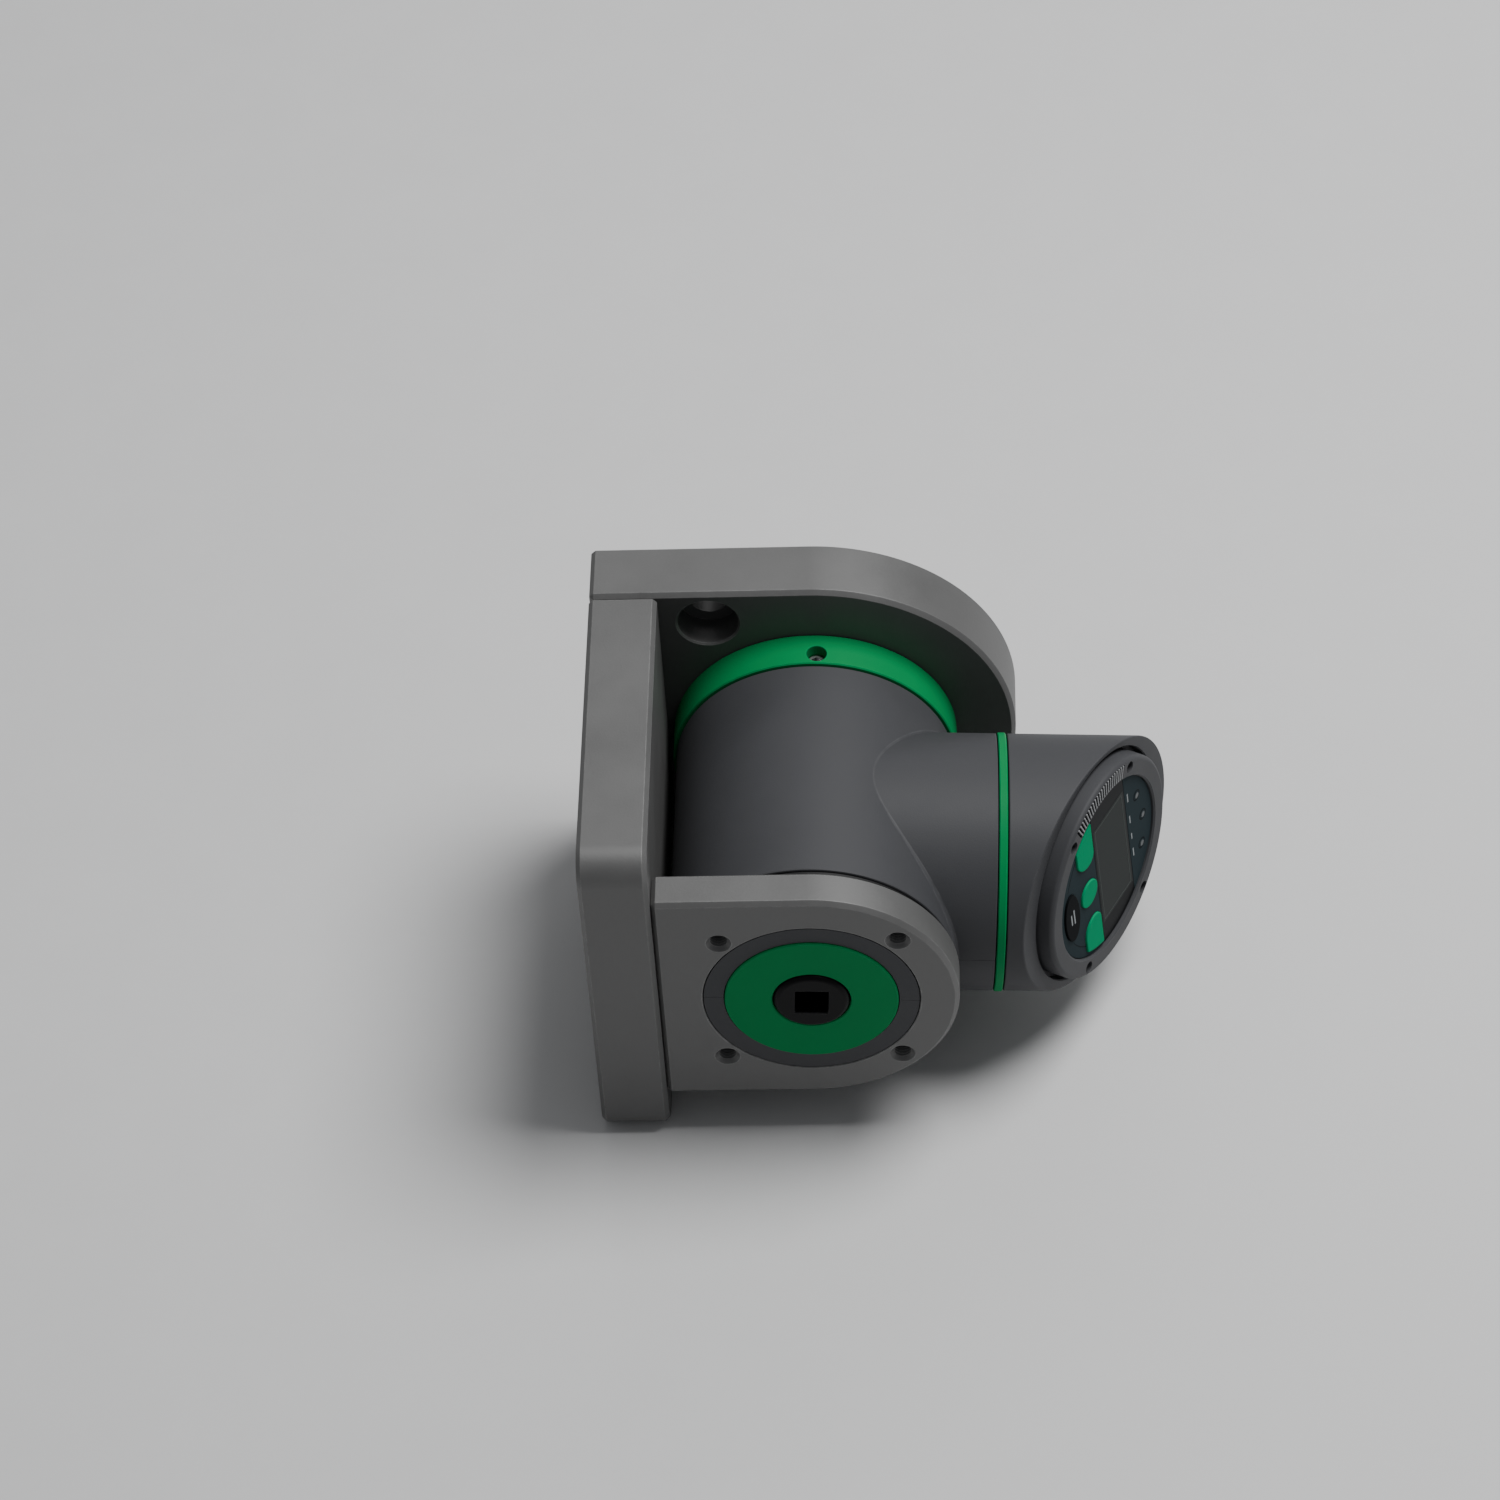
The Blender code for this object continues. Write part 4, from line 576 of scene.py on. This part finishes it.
def side_plate():
    start = -SIDE_LEAD
    end = BACK_Y - SEAM
    outline = [(end, -PLATE_HALF), (end, PLATE_HALF)]
    outline += arc((start + SIDE_CORNER, PLATE_HALF - SIDE_CORNER), SIDE_CORNER, math.pi / 2, math.pi, 20)
    outline += arc((start + SIDE_CORNER, SIDE_CORNER - PLATE_HALF), SIDE_CORNER, math.pi, 1.5 * math.pi, 20)
    plate = make("side_plate_fine", prism(outline, SIDE_X, SIDE_INNER_X), BRACKET @ FLAT_SIDE)
    soften(plate, PLATE_BEVEL, 1)
    soften(plate, EDGE_ROUND, 2, 20)
    seat = SIDE_X + SMALL_WELL[1] * MM
    tools = []
    for z in ARM_SCREW_HEIGHTS:
        centre = (-z, ARM_THICK / 2)
        tools.append(bored(SMALL_WELL[0] * MM, SIDE_X - PAST, seat, BRACKET @ ALONG_X, centre))
        low, high = SIDE_X - 0.3 * MM, SIDE_X + 0.6 * MM
        sink = rod(ARM_WELL_MOUTH_R, low, high, ROUND_HOLE, centre, ARM_WELL_THROAT_R)
        tools.append((sink, BRACKET @ ALONG_X))
    combine(plate, tools)
    dress(plate, "bracket", "plate_steel", "side_plate")


def half_round(start_x, half, steps=72):
    return [(start_x, half), (start_x, -half)] + arc((0, 0), half, -math.pi / 2, math.pi / 2, steps)


def back_plate():
    shape = prism(half_round(SIDE_X, PLATE_HALF), -REAR_Y, -BACK_Y)
    plate = make("back_plate_fine", shape, BRACKET @ FLAT_FRONT)
    soften(plate, PLATE_BEVEL, 1)
    soften(plate, EDGE_ROUND, 2, 20)
    place = BRACKET @ ALONG_Y
    tools = []
    for side in (-1, 1):
        centre = (MOUNT_X, side * MOUNT_Z)
        tools.append(bored(MOUNT_R, BACK_Y - PAST, REAR_Y + PAST, place, centre, ROUND_MOUNT))
        seat = BACK_Y + MOUNT_BORE_DEPTH
        tools.append(bored(MOUNT_BORE_R, BACK_Y - PAST, seat, place, centre, ROUND_RECESS))
        low, high = BACK_Y - MOUNT_LEAD_DEPTH, BACK_Y + MOUNT_LEAD_DEPTH
        near = rod(MOUNT_BORE_R + MOUNT_LEAD, low, high, ROUND_RECESS, centre, MOUNT_BORE_R)
        low, high = REAR_Y - MOUNT_LEAD_DEPTH, REAR_Y + MOUNT_LEAD_DEPTH
        far = rod(MOUNT_R, low, high, ROUND_MOUNT, centre, MOUNT_R + MOUNT_LEAD)
        tools += [(near, place), (far, place)]
    middle = (SIDE_X + SIDE_INNER_X) / 2
    wells = [(*LARGE_WELL, (middle, z)) for z in PLATE_SCREW_HEIGHTS]
    wells += [(*SMALL_WELL, centre) for centre in spread(FLANGE_SCREW_CIRCLE, 4, math.pi / 4)]
    for radius, deep, centre in wells:
        tools.append(bored(radius * MM, REAR_Y - deep * MM, REAR_Y + PAST, place, centre))
        low, high = REAR_Y - WELL_LEAD_DEPTH, REAR_Y + WELL_LEAD_DEPTH
        sink = rod(radius * MM, low, high, ROUND_HOLE, centre, (radius + WELL_LEAD) * MM)
        tools.append((sink, place))
    combine(plate, tools)
    dress(plate, "bracket", "plate_steel", "back_plate")


def thread_tool(centre):
    """The inside of a threaded hole, with its countersink."""
    mouth = THREAD_R + THREAD_LEAD
    profile = [(0.0, -PAST), (mouth + PAST, -PAST), (mouth, 0.0), (THREAD_R, THREAD_LEAD)]
    turns = int(ARM_THICK / THREAD_PITCH)
    for turn in range(turns):
        height = THREAD_LEAD + turn * THREAD_PITCH
        profile.append((THREAD_R - THREAD_DEPTH, height + THREAD_PITCH / 2))
        profile.append((THREAD_R, height + THREAD_PITCH))
    profile += [(THREAD_R, ARM_THICK + PAST), (0.0, ARM_THICK + PAST)]
    return lathe(profile, ROUND_HOLE, closed=False, centre=centre)


def front_arm():
    start_x = SIDE_INNER_X + SEAM
    arm = make("front_arm_fine", prism(half_round(start_x, ARM_HALF), -ARM_THICK, 0.0), BRACKET @ FLAT_FRONT)
    soften(arm, PLATE_BEVEL, 1)
    soften(arm, EDGE_ROUND, 2, 20)
    place = BRACKET @ ALONG_Y
    bore = COLLAR_R + COLLAR_GAP
    tools = [bored(bore, -PAST, ARM_THICK + PAST, place, (0, 0), ROUND)]
    deep = COLLAR_LEAD_DEPTH
    tools.append((rod(COLLAR_R + COLLAR_LEAD, -deep, deep, ROUND, (0, 0), bore), place))
    tools += [(thread_tool(centre), place) for centre in spread(ARM_HOLE_CIRCLE, 4, math.pi / 4)]
    combine(arm, tools)
    dress(arm, "bracket", "plate_steel", "front_arm")


def cap_screw(name, shank, head, seat, top, centre, place):
    """A socket cap screw whose head runs from seat to top along local Z."""
    up = 1 if top > seat else -1
    edge = SCREW_EDGE * up
    end = seat - up * SCREW_SHANK
    profile = [(0.0, end), (shank, end), (shank, seat), (head, seat)]
    profile += [(head, top - edge), (head - SCREW_EDGE, top), (0.0, top)]
    screw = make(f"{name}_fine", lathe(profile, ROUND_SCREW, closed=False, centre=centre), place)
    low, high = sorted((top - up * shank * SCREW_KEY_DEPTH, top + up * PAST))
    sink_low, sink_high = sorted((top - up * 0.4 * MM, top + up * 0.4 * MM))
    small, large = shank * SCREW_KEY, shank * SCREW_KEY + 0.5 * MM
    first, last = (small, large) if up > 0 else (large, small)
    tools = [(rod(small, low, high, HEX, centre), place)]
    tools.append((rod(first, sink_low, sink_high, ROUND_SCREW, centre, last), place))
    combine(screw, tools)
    dress(screw, "bracket", "black_steel", name)


def bracket_screws():
    rear = BRACKET @ ALONG_Y
    middle = (SIDE_X + SIDE_INNER_X) / 2
    top = REAR_Y - SCREW_SUNK
    shank, head, deep = LARGE_SCREW
    for number, z in enumerate(PLATE_SCREW_HEIGHTS, start=1):
        cap_screw(f"plate_screw_{number}", shank, head, REAR_Y - deep, top, (middle, -z), rear)
    shank, head, deep = SMALL_SCREW
    for number, centre in enumerate(spread(FLANGE_SCREW_CIRCLE, 4, math.pi / 4), start=1):
        cap_screw(f"flange_screw_{number}", shank, head, REAR_Y - deep, top, centre, rear)
    side = BRACKET @ ALONG_X
    for number, z in enumerate(ARM_SCREW_HEIGHTS, start=1):
        centre = (-z, ARM_THICK / 2)
        cap_screw(f"arm_screw_{number}", shank, head, SIDE_X + deep, SIDE_X + SCREW_SUNK, centre, side)


# ---------------------------------------------------------------- drive
def drive():
    place = HOUSING @ ALONG_Y
    front = -HUB_PROUD
    corner = arc((HUB_R - HUB_ROUND, front + HUB_ROUND), HUB_ROUND, 0.0, -math.pi / 2, 10)
    profile = [(0.0, front + HUB_LENGTH), (HUB_R, front + HUB_LENGTH)] + corner + [(0.0, front)]
    hub = make("drive_hub_fine", lathe(profile, closed=False), place)
    half = SQUARE / 2
    corner_reach = half * math.sqrt(2)
    socket = prism(rounded_box(half, half, SQUARE_CORNER, 4), front - PAST, front + SQUARE_DEPTH)
    low, high = front - 0.2 * MM, front + 0.5 * MM
    lead = rod(corner_reach + 0.5 * MM, low, high, 4, tip=corner_reach - 0.2 * MM)
    bmesh.ops.rotate(lead, verts=lead.verts, matrix=Matrix.Rotation(math.pi / 4, 3, "Z"))
    detent = rod(DETENT_R, half - 1 * MM, half + 1.6 * MM, 32, (0, front + DETENT_Y))
    combine(hub, [(socket, place), (lead, place), (detent, HOUSING @ axes(X, Y, Z))])
    dress(hub, "bracket", "black_steel", "drive_hub")
    low, high = -DISC_PROUD, DISC_THICK - DISC_PROUD
    disc = make("hub_disc_fine", lathe(ring(HUB_R + 0.3 * MM, DISC_R, low, high, DISC_EDGE)), place)
    dress(disc, "bracket", "green_finish", "hub_disc")


# ---------------------------------------------------------------- housing
def housing_half(node, side):
    """One half of the barrel, neck and collar, above or below the parting plane."""
    low, high = BARREL_START, RING_START - SEAM
    body = make(f"{node}_fine", rod(BARREL_R, low, high), HOUSING @ ALONG_Y)
    soften(body, 0.5 * MM, 2)
    neck = rod(NECK_R, 0.0, NECK_END, ROUND)
    bmesh.ops.bevel(
        neck,
        geom=[edge for edge in neck.edges if all(vert.co.z > NECK_END - MM for vert in edge.verts)],
        offset=0.35 * MM,
        segments=2,
        affect="EDGES",
        profile=0.5,
    )
    collar = rod(COLLAR_R, 0.2 * MM, low + MM, ROUND)
    combine(body, [(neck, NECK @ ALONG_X), (collar, HOUSING @ ALONG_Y)], "UNION")
    half = block((-FAR, -FAR, -FAR), (FAR, 2 * FAR, SEAM / 2))
    if side < 0:
        half = block((-FAR, -FAR, -SEAM / 2), (FAR, 2 * FAR, FAR))
    space = rod(BARREL_R - WALL, low + END_WALL, high - END_WALL, ROUND)
    tools = [(half, HOUSING), (space, HOUSING @ ALONG_Y)]
    tools.append((rod(NECK_R - WALL, 0.0, NECK_END - END_WALL, ROUND), NECK @ ALONG_X))
    tools.append((rod(DISC_R + 0.3 * MM, -PAST, high + PAST, ROUND), HOUSING @ ALONG_Y))
    tools.append((rod(SWIVEL_R, NECK_END - 2 * END_WALL, NECK_END + PAST, ROUND), NECK @ ALONG_X))
    if side < 0:
        for x in (-HOUSING_SCREW_X, HOUSING_SCREW_X):
            for y in (low + HOUSING_SCREW_INSET, high + SEAM - HOUSING_SCREW_INSET):
                well = rod(HOUSING_SCREW_R, -FAR, HOUSING_SCREW_TOP, ROUND_HOLE, (x, y))
                tools.append((well, HOUSING))
    combine(body, tools)
    dress(body, "housing", "case_plastic", node)


def neck_fillet(name, start, end):
    """The round corner between barrel and neck: a ball's path along both, between the parting lines."""
    shape = bmesh.new()
    sections = []
    for step in range(ROUND + 1):
        turn = start + (end - start) * step / ROUND
        y, z = math.cos(turn), math.sin(turn)
        reach = NECK_R + FILLET_R
        middle = Vector((math.sqrt((BARREL_R + FILLET_R) ** 2 - (reach * z) ** 2), reach * y, reach * z))
        to_barrel = -Vector((middle.x, 0, middle.z)).normalized()
        to_neck = -Vector((0, y, z))
        crease = Vector((math.sqrt(BARREL_R**2 - (NECK_R * z) ** 2), NECK_R * y, NECK_R * z))
        points = [crease + FILLET_SINK * (to_barrel + to_neck).normalized()]
        for part in range(FILLET_STEPS + 1):
            points.append(middle + FILLET_R * to_barrel.slerp(to_neck, part / FILLET_STEPS))
        sections.append([shape.verts.new(point) for point in points])
    for first, second in zip(sections, sections[1:]):
        for number in range(len(first)):
            after = (number + 1) % len(first)
            shape.faces.new((first[number], first[after], second[after], second[number]))
    shape.faces.new(sections[0])
    shape.faces.new(sections[-1])
    bmesh.ops.recalc_face_normals(shape, faces=shape.faces)
    dress(make(name, shape, NECK), "housing", "case_plastic")


def housing_rings():
    place = HOUSING @ ALONG_Y
    inner, outer = COLLAR_R + COLLAR_GAP, BARREL_R - WASHER_STEP
    section = ring(inner, outer, WASHER_START, WASHER_END, 0.1 * MM)
    washer = make("slide_washer_fine", lathe(section), place)
    dress(washer, "housing", "slide_plastic", "slide_washer")
    band = make("rear_ring_fine", lathe(ring(FLANGE_R, RING_R, RING_START, RING_END, RING_EDGE)), place)
    lock_point = Vector(JOINTS["lock_screw_turn"]["pos_m"])
    lock_place = axes(NECK_AXIS, Y, LOCK_AXIS, lock_point)
    tools = [(rod(LOCK_BORE_R, FLANGE_R - PAST, RING_R + PAST, ROUND_MOUNT), lock_place)]
    low, high = RING_R - 0.2 * MM, RING_R + 0.3 * MM
    tools.append((rod(LOCK_BORE_R, low, high, ROUND_MOUNT, tip=3.5 * MM), lock_place))
    combine(band, tools)
    dress(band, "housing", "green_finish", "rear_ring")
    top = RING_R - LOCK_SUNK
    screw = make("lock_screw_fine", rod(LOCK_R, FLANGE_R + 0.3 * MM, top, ROUND_MOUNT), lock_place)
    soften(screw, 0.4 * MM, 2)
    combine(screw, [(rod(LOCK_KEY_R, top - LOCK_KEY_DEPTH, top + PAST, HEX), lock_place)])
    dress(screw, "lock_screw", "bright_steel", "lock_screw")
    section = ring(SWIVEL_R, BAND_R, BAND_START, BAND_START + BAND_WIDTH, DISC_EDGE)
    green = make("neck_band_fine", lathe(section), NECK @ ALONG_X)
    dress(green, "housing", "green_finish", "neck_band")


# ---------------------------------------------------------------- head
def bezel_screw_places():
    angles = [side * math.pi + turn * BEZEL_SCREW_ANGLE for side in (0, 1) for turn in (-1, 1)]
    return [(BEZEL_SCREW_CIRCLE * math.cos(a), BEZEL_SCREW_CIRCLE * math.sin(a)) for a in angles]


def head_shell():
    shell = make("head_shell_fine", rod(NECK_R, HEAD_START, FAR), HEAD @ ALONG_X)
    combine(shell, [(block((-FAR, -FAR, 0), (FAR, FAR, FAR)), SLOPE)])
    soften(shell, 0.5 * MM, 3, 25)
    space = make("head_space", rod(NECK_R - WALL, HEAD_START + END_WALL, FAR), HEAD @ ALONG_X)
    under = -SEAT_DEPTH - SEAT_THICK
    combine(space, [(block((-FAR, -FAR, under), (FAR, FAR, FAR)), SLOPE)])
    hollow = bmesh.new()
    hollow.from_mesh(space.data)
    bpy.data.objects.remove(space, do_unlink=True)
    tools = [(hollow, Matrix.Identity(4))]
    tools.append((rod(SWIVEL_R, HEAD_START - PAST, HEAD_START + END_WALL + MM), HEAD @ ALONG_X))
    tools.append((rod(POCKET_R, -SEAT_DEPTH, PAST), FACE))
    lead = rod(POCKET_R - 0.01 * MM, -0.35 * MM, 0.35 * MM, ROUND, tip=POCKET_R + 0.7 * MM)
    tools.append((lead, FACE))
    tools.append((rod(SEAT_HOLE_R, under - 2 * MM, 0.0), FACE))
    port = prism(rounded_box(5.3 * MM, 2.5 * MM, 1.9 * MM), NECK_R - 2 * WALL, NECK_R + PAST)
    tools.append((port, PORT))
    combine(shell, tools)
    dress(shell, "head", "case_plastic", "head_shell")


def charging_port():
    """The socket's metal shell with its tongue."""
    mouth = NECK_R - PORT_SUNK
    shape = prism(rounded_box(5.0 * MM, 2.2 * MM, 1.7 * MM), mouth - PORT_LENGTH, mouth)
    port = make("usb_port_fine", shape, PORT)
    hole = prism(rounded_box(4.5 * MM, 1.7 * MM, 1.3 * MM), mouth - 6.5 * MM, mouth + PAST)
    combine(port, [(hole, PORT)])
    tongue = block((-3.3 * MM, -0.35 * MM, mouth - 6.8 * MM), (3.3 * MM, 0.35 * MM, mouth - 1 * MM))
    combine(port, [(tongue, PORT)], "UNION")
    dress(port, "head", "bright_steel", "usb_port")


def rib_boxes(count, width, low, high):
    """Short radial bars side by side on the bezel's left, as one shape."""
    bars = bmesh.new()
    for number in range(count):
        angle = math.pi + (number - (count - 1) / 2) * RIB_PITCH
        middle = Matrix.Translation(((RIB_INNER + RIB_OUTER) / 2, 0, (low + high) / 2))
        size = Matrix.Diagonal((RIB_OUTER - RIB_INNER, width, high - low, 1.0))
        bmesh.ops.create_cube(bars, size=1.0, matrix=Matrix.Rotation(angle, 4, "Z") @ middle @ size)
    return bars


def bezel():
    base = -SEAT_DEPTH + 0.3 * MM
    centre = (BEZEL_R - BEZEL_ROUND, BEZEL_TOP - BEZEL_ROUND)
    dome = arc(centre, BEZEL_ROUND, 0.0, math.radians(85), 10)
    profile = [(BEZEL_INNER_R, BEZEL_TOP - BEZEL_EDGE), (BEZEL_INNER_R + BEZEL_EDGE, BEZEL_TOP)]
    profile += list(reversed(dome)) + [(BEZEL_R, base), (LEDGE_R, base)]
    profile += [(LEDGE_R, LEDGE_HEIGHT), (BEZEL_INNER_R, LEDGE_HEIGHT)]
    band = make("bezel_fine", lathe(profile), FACE)
    low = BEZEL_TOP - RIB_DEPTH
    slots = rib_boxes(RIB_COUNT, RIB_SLOT, low, BEZEL_TOP + RIB_DEPTH)
    bars = rib_boxes(RIB_COUNT - 1, RIB_WIDTH, low, BEZEL_TOP + RIB_PROUD)
    ribs = make("bezel_ribs", bars, FACE)
    soften(ribs, 0.1 * MM, 2)
    dress(ribs, "head", "case_plastic")
    # The ribs get the light grey of a painted highlight, not the case plastic's own colour.
    coat(ribs, RIB_PAINTED_HIGHLIGHT)
    tools = [(slots, FACE)]
    for centre in bezel_screw_places():
        tools.append((rod(BEZEL_SCREW_R + 0.3 * MM, -MM, BEZEL_TOP + PAST, ROUND_HOLE, centre), FACE))
    combine(band, tools)
    dress(band, "head", "case_plastic", "bezel")
    for number, centre in enumerate(bezel_screw_places(), start=1):
        top = SCREW_TOP_ON_BEZEL
        profile = [(0.0, -3 * MM), (MM, -3 * MM), (MM, -0.7 * MM), (BEZEL_SCREW_R, -0.7 * MM)]
        profile += [(BEZEL_SCREW_R, top - 0.4 * MM), (BEZEL_SCREW_R - 0.4 * MM, top), (0.0, top)]
        shape = lathe(profile, ROUND_HOLE, closed=False, centre=centre)
        screw = make(f"bezel_screw_{number}_fine", shape, FACE)
        combine(screw, [(rod(0.8 * MM, top - 1.2 * MM, top + PAST, HEX, centre), FACE)])
        dress(screw, "head", "black_steel", f"bezel_screw_{number}")


# ---------------------------------------------------------------- face
def outer_key(side, margin=0.0):
    low, high, inner = OUTER_KEY_LOW - margin, OUTER_KEY_HIGH + margin, OUTER_KEY_INNER - margin
    rim = OUTER_KEY_RIM + margin
    corner = OUTER_KEY_CORNER + margin
    radius = high - low - corner
    points = arc((inner + corner, high - corner), corner, math.pi / 2, math.pi, 12)
    points += arc((inner + radius, low + radius), radius, math.pi, 1.5 * math.pi, 18)[1:]
    points += arc((0, 0), rim, math.asin(low / rim), math.asin(high / rim), 16)
    return points if side > 0 else [(-x, y) for x, y in reversed(points)]


def key_outlines(margin=0.0):
    return {
        "key_left": outer_key(-1, margin),
        "key_right": outer_key(1, margin),
        "key_centre": oval((0, -11.1 * MM), (4.5 * MM + margin, 4.6 * MM + margin)),
        "key_power": oval((0, -21.6 * MM), (9.4 * MM + margin, 4.2 * MM + margin)),
    }


def disc_part(low, high):
    """The part of a disc between two level lines, either of which may be left open."""
    start = -math.pi / 2 if low is None else math.asin(low / SHEET_R)
    end = math.pi / 2 if high is None else math.asin(high / SHEET_R)
    points = arc((0, 0), SHEET_R, start, end, ROUND_SHEET)
    return points + [(-x, y) for x, y in reversed(points)][(high is None):len(points) - (low is None)]


def print_on(name, outline, height, material, body="head", slot="sheet_grey"):
    """A printed mark: a skin a few hundredths thick on the surface at height."""
    mark = make(name, prism(outline, height - PRINT_SUNK, height + PRINT_PROUD), FACE)
    dress(mark, body, slot)
    coat(mark, material)


def strip(a, b, width):
    """The outline of a straight mark from a to b."""
    along = (Vector(b) - Vector(a)).normalized() * width / 2
    across = Vector((-along.y, along.x))
    a, b = Vector(a), Vector(b)
    return [tuple(a - across), tuple(b - across), tuple(b + across), tuple(a + across)]


def ring_mark(name, centre, radius, width, start, end, material):
    outline = arc(centre, radius + width / 2, start, end, 40)
    outline += arc(centre, radius - width / 2, end, start, 40)
    print_on(name, outline, SHEET_TOP, material)


def face():
    shape = prism(disc_part(None, BAND_LOW - SHEET_SEAM), SHEET_LOW, SHEET_TOP)
    keypad = make("keypad_sheet_fine", shape, FACE)
    combine(keypad, [(prism(line, 0.0, 10 * MM), FACE) for line in key_outlines(KEY_GAP).values()])
    dress(keypad, "head", "sheet_grey", "keypad_sheet")
    shape = prism(disc_part(BAND_LOW, BAND_HIGH), SHEET_LOW, SHEET_TOP)
    window = make("display_window_fine", shape, FACE)
    soften(window, 0.06 * MM, 1)
    dress(window, "head", "window_glass", "display_window")
    shape = prism(disc_part(BAND_HIGH + SHEET_SEAM, None), SHEET_LOW, SHEET_TOP)
    status = make("status_sheet_fine", shape, FACE)
    dress(status, "head", "sheet_grey", "status_sheet")
    for name, line in key_outlines().items():
        key = make(f"{name}_fine", prism(line, KEY_FOOT, KEY_TOP), FACE)
        soften(key, KEY_ROUND, 4, 50)
        dress(key, name, "key_black" if name == "key_power" else "key_green", name)
    display()
    marks()


def display():
    half_x, low, high = PANE_HALF_X, PANE_LOW, PANE_HIGH
    glass = [(-half_x, low), (half_x, low), (half_x, high), (-half_x, high)]
    pane = make("display_pane", prism(glass, SHEET_TOP - PRINT_SUNK, SHEET_TOP + PANE_PROUD), FACE)
    dress(pane, "head", "display_grey", "display_module")
    inset, height = PANE_EDGE_INSET, SHEET_TOP + PANE_PROUD
    corners = [(-half_x + inset, low + inset), (half_x - inset, low + inset)]
    corners += [(half_x - inset, high - inset), (-half_x + inset, high - inset)]
    for number in range(4):
        line = strip(corners[number], corners[(number + 1) % 4], PANE_EDGE_WIDTH)
        print_on(f"display_edge_{number + 1}", line, height, DISPLAY_EDGE, slot="display_grey")


def marks():
    """The printed lines on the sheets. Where words stand, there are plain dashes."""
    for number, (start, end) in enumerate(((212, 243), (297, 328)), start=1):
        start, end = math.radians(start), math.radians(end)
        ring_mark(f"keypad_arc_{number}", (0, 0), 24.6 * MM, 0.2 * MM, start, end, PRINT_DARK)
    for number, (x, y) in enumerate(((-10.5, 20.6), (0.0, 22.8), (10.5, 20.6)), start=1):
        centre = (x * MM, y * MM)
        ring_mark(f"led_ring_{number}", centre, 1.7 * MM, 0.35 * MM, 0.0, 1.999 * math.pi, PRINT_DARK)
    for number, (start, end) in enumerate(((-16, -12.6), (-6.4, -3.4), (1.2, 3.6), (7.8, 11)), start=1):
        line = strip((start * MM, STATUS_LINE_Y), (end * MM, STATUS_LINE_Y), 0.55 * MM)
        print_on(f"status_dash_{number}", line, SHEET_TOP, PRINT_LIGHT)
    for number, (half, y) in enumerate(((2.9, -20.9), (2.1, -22.5)), start=1):
        line = strip((-half * MM, y * MM), (half * MM, y * MM), 0.6 * MM)
        print_on(f"power_dash_{number}", line, KEY_TOP, PRINT_LIGHT, "key_power", "key_black")


DISPLAY_EDGE = surface("display_edge", (0.075, 0.085, 0.082), 0.35, 0.0, 1200, 0.004, 0.1, shine=0.2, ior=1.1)


# ---------------------------------------------------------------- stage
def stage():
    floor = make("floor", block((-3, -3, -0.02), (3, 3, 0)), Matrix.Identity(4))
    floor.data.materials.append(surface("floor", (0.62, 0.62, 0.62), 0.75, 0.0, 300, 0.02, 0.015))
    world = bpy.data.worlds.new("studio")
    bpy.context.scene.world = world
    world.use_nodes = True
    world.node_tree.nodes["Background"].inputs["Color"].default_value = (0.95, 0.97, 1.0, 1.0)
    world.node_tree.nodes["Background"].inputs["Strength"].default_value = 0.22
    for name, place, size, power in (
        ("key_light", (0.55, 0.2, 1.5), 0.85, 31.0),
        ("fill_light", (0.1, 1.3, 0.9), 1.0, 3.0),
    ):
        data = bpy.data.lights.new(name, "AREA")
        data.shape = "DISK"
        data.size = size
        data.energy = power
        light = bpy.data.objects.new(name, data)
        light.location = place
        light.rotation_euler = (Vector((0, 0, 0.05)) - Vector(place)).to_track_quat("-Z", "Y").to_euler()
        bpy.context.scene.collection.objects.link(light)


CAMERA_YAW = math.radians(-4.17)
CAMERA_PITCH = math.radians(47.97)
CAMERA_ROLL = math.radians(-4.16)
CAMERA_REACH = Vector((-46.22, 72.73, 1581.7)) * MM
CAMERA_FOCAL = 132.0


def camera():
    """Placed by its turn about the hub's front point and by that point's place in its view."""
    cy, sy = math.cos(CAMERA_YAW), math.sin(CAMERA_YAW)
    cp, sp = math.cos(CAMERA_PITCH), math.sin(CAMERA_PITCH)
    cr, sr = math.cos(CAMERA_ROLL), math.sin(CAMERA_ROLL)
    yaw = Matrix(((cy, -sy, 0), (sy, cy, 0), (0, 0, 1)))
    tilt = Matrix(((1, 0, 0), (0, -sp, -cp), (0, cp, -sp)))
    roll = Matrix(((cr, -sr, 0), (sr, cr, 0), (0, 0, 1)))
    view = roll @ tilt @ yaw
    base = Vector((SIDE_LOW.x, FRONT_Y, HUB_POINT.z))
    data = bpy.data.cameras.new("camera")
    data.lens = CAMERA_FOCAL
    data.sensor_width = 36.0
    data.clip_end = 20.0
    item = bpy.data.objects.new("camera", data)
    turn = axes(view[0], -view[1], -view[2])
    item.matrix_world = Matrix.Translation(base - view.transposed() @ CAMERA_REACH) @ turn
    bpy.context.scene.collection.objects.link(item)
    bpy.context.scene.camera = item


# ---------------------------------------------------------------- everything
camera()
stage()
carry_over()
side_plate()
back_plate()
front_arm()
bracket_screws()
drive()
housing_half("housing_upper", 1)
housing_half("housing_lower", -1)
part_line = SEAM / 2 / NECK_R
neck_fillet("neck_fillet_upper", part_line, math.pi - part_line)
neck_fillet("neck_fillet_lower", math.pi + part_line, 2 * math.pi - part_line)
housing_rings()
head_shell()
charging_port()
bezel()
face()
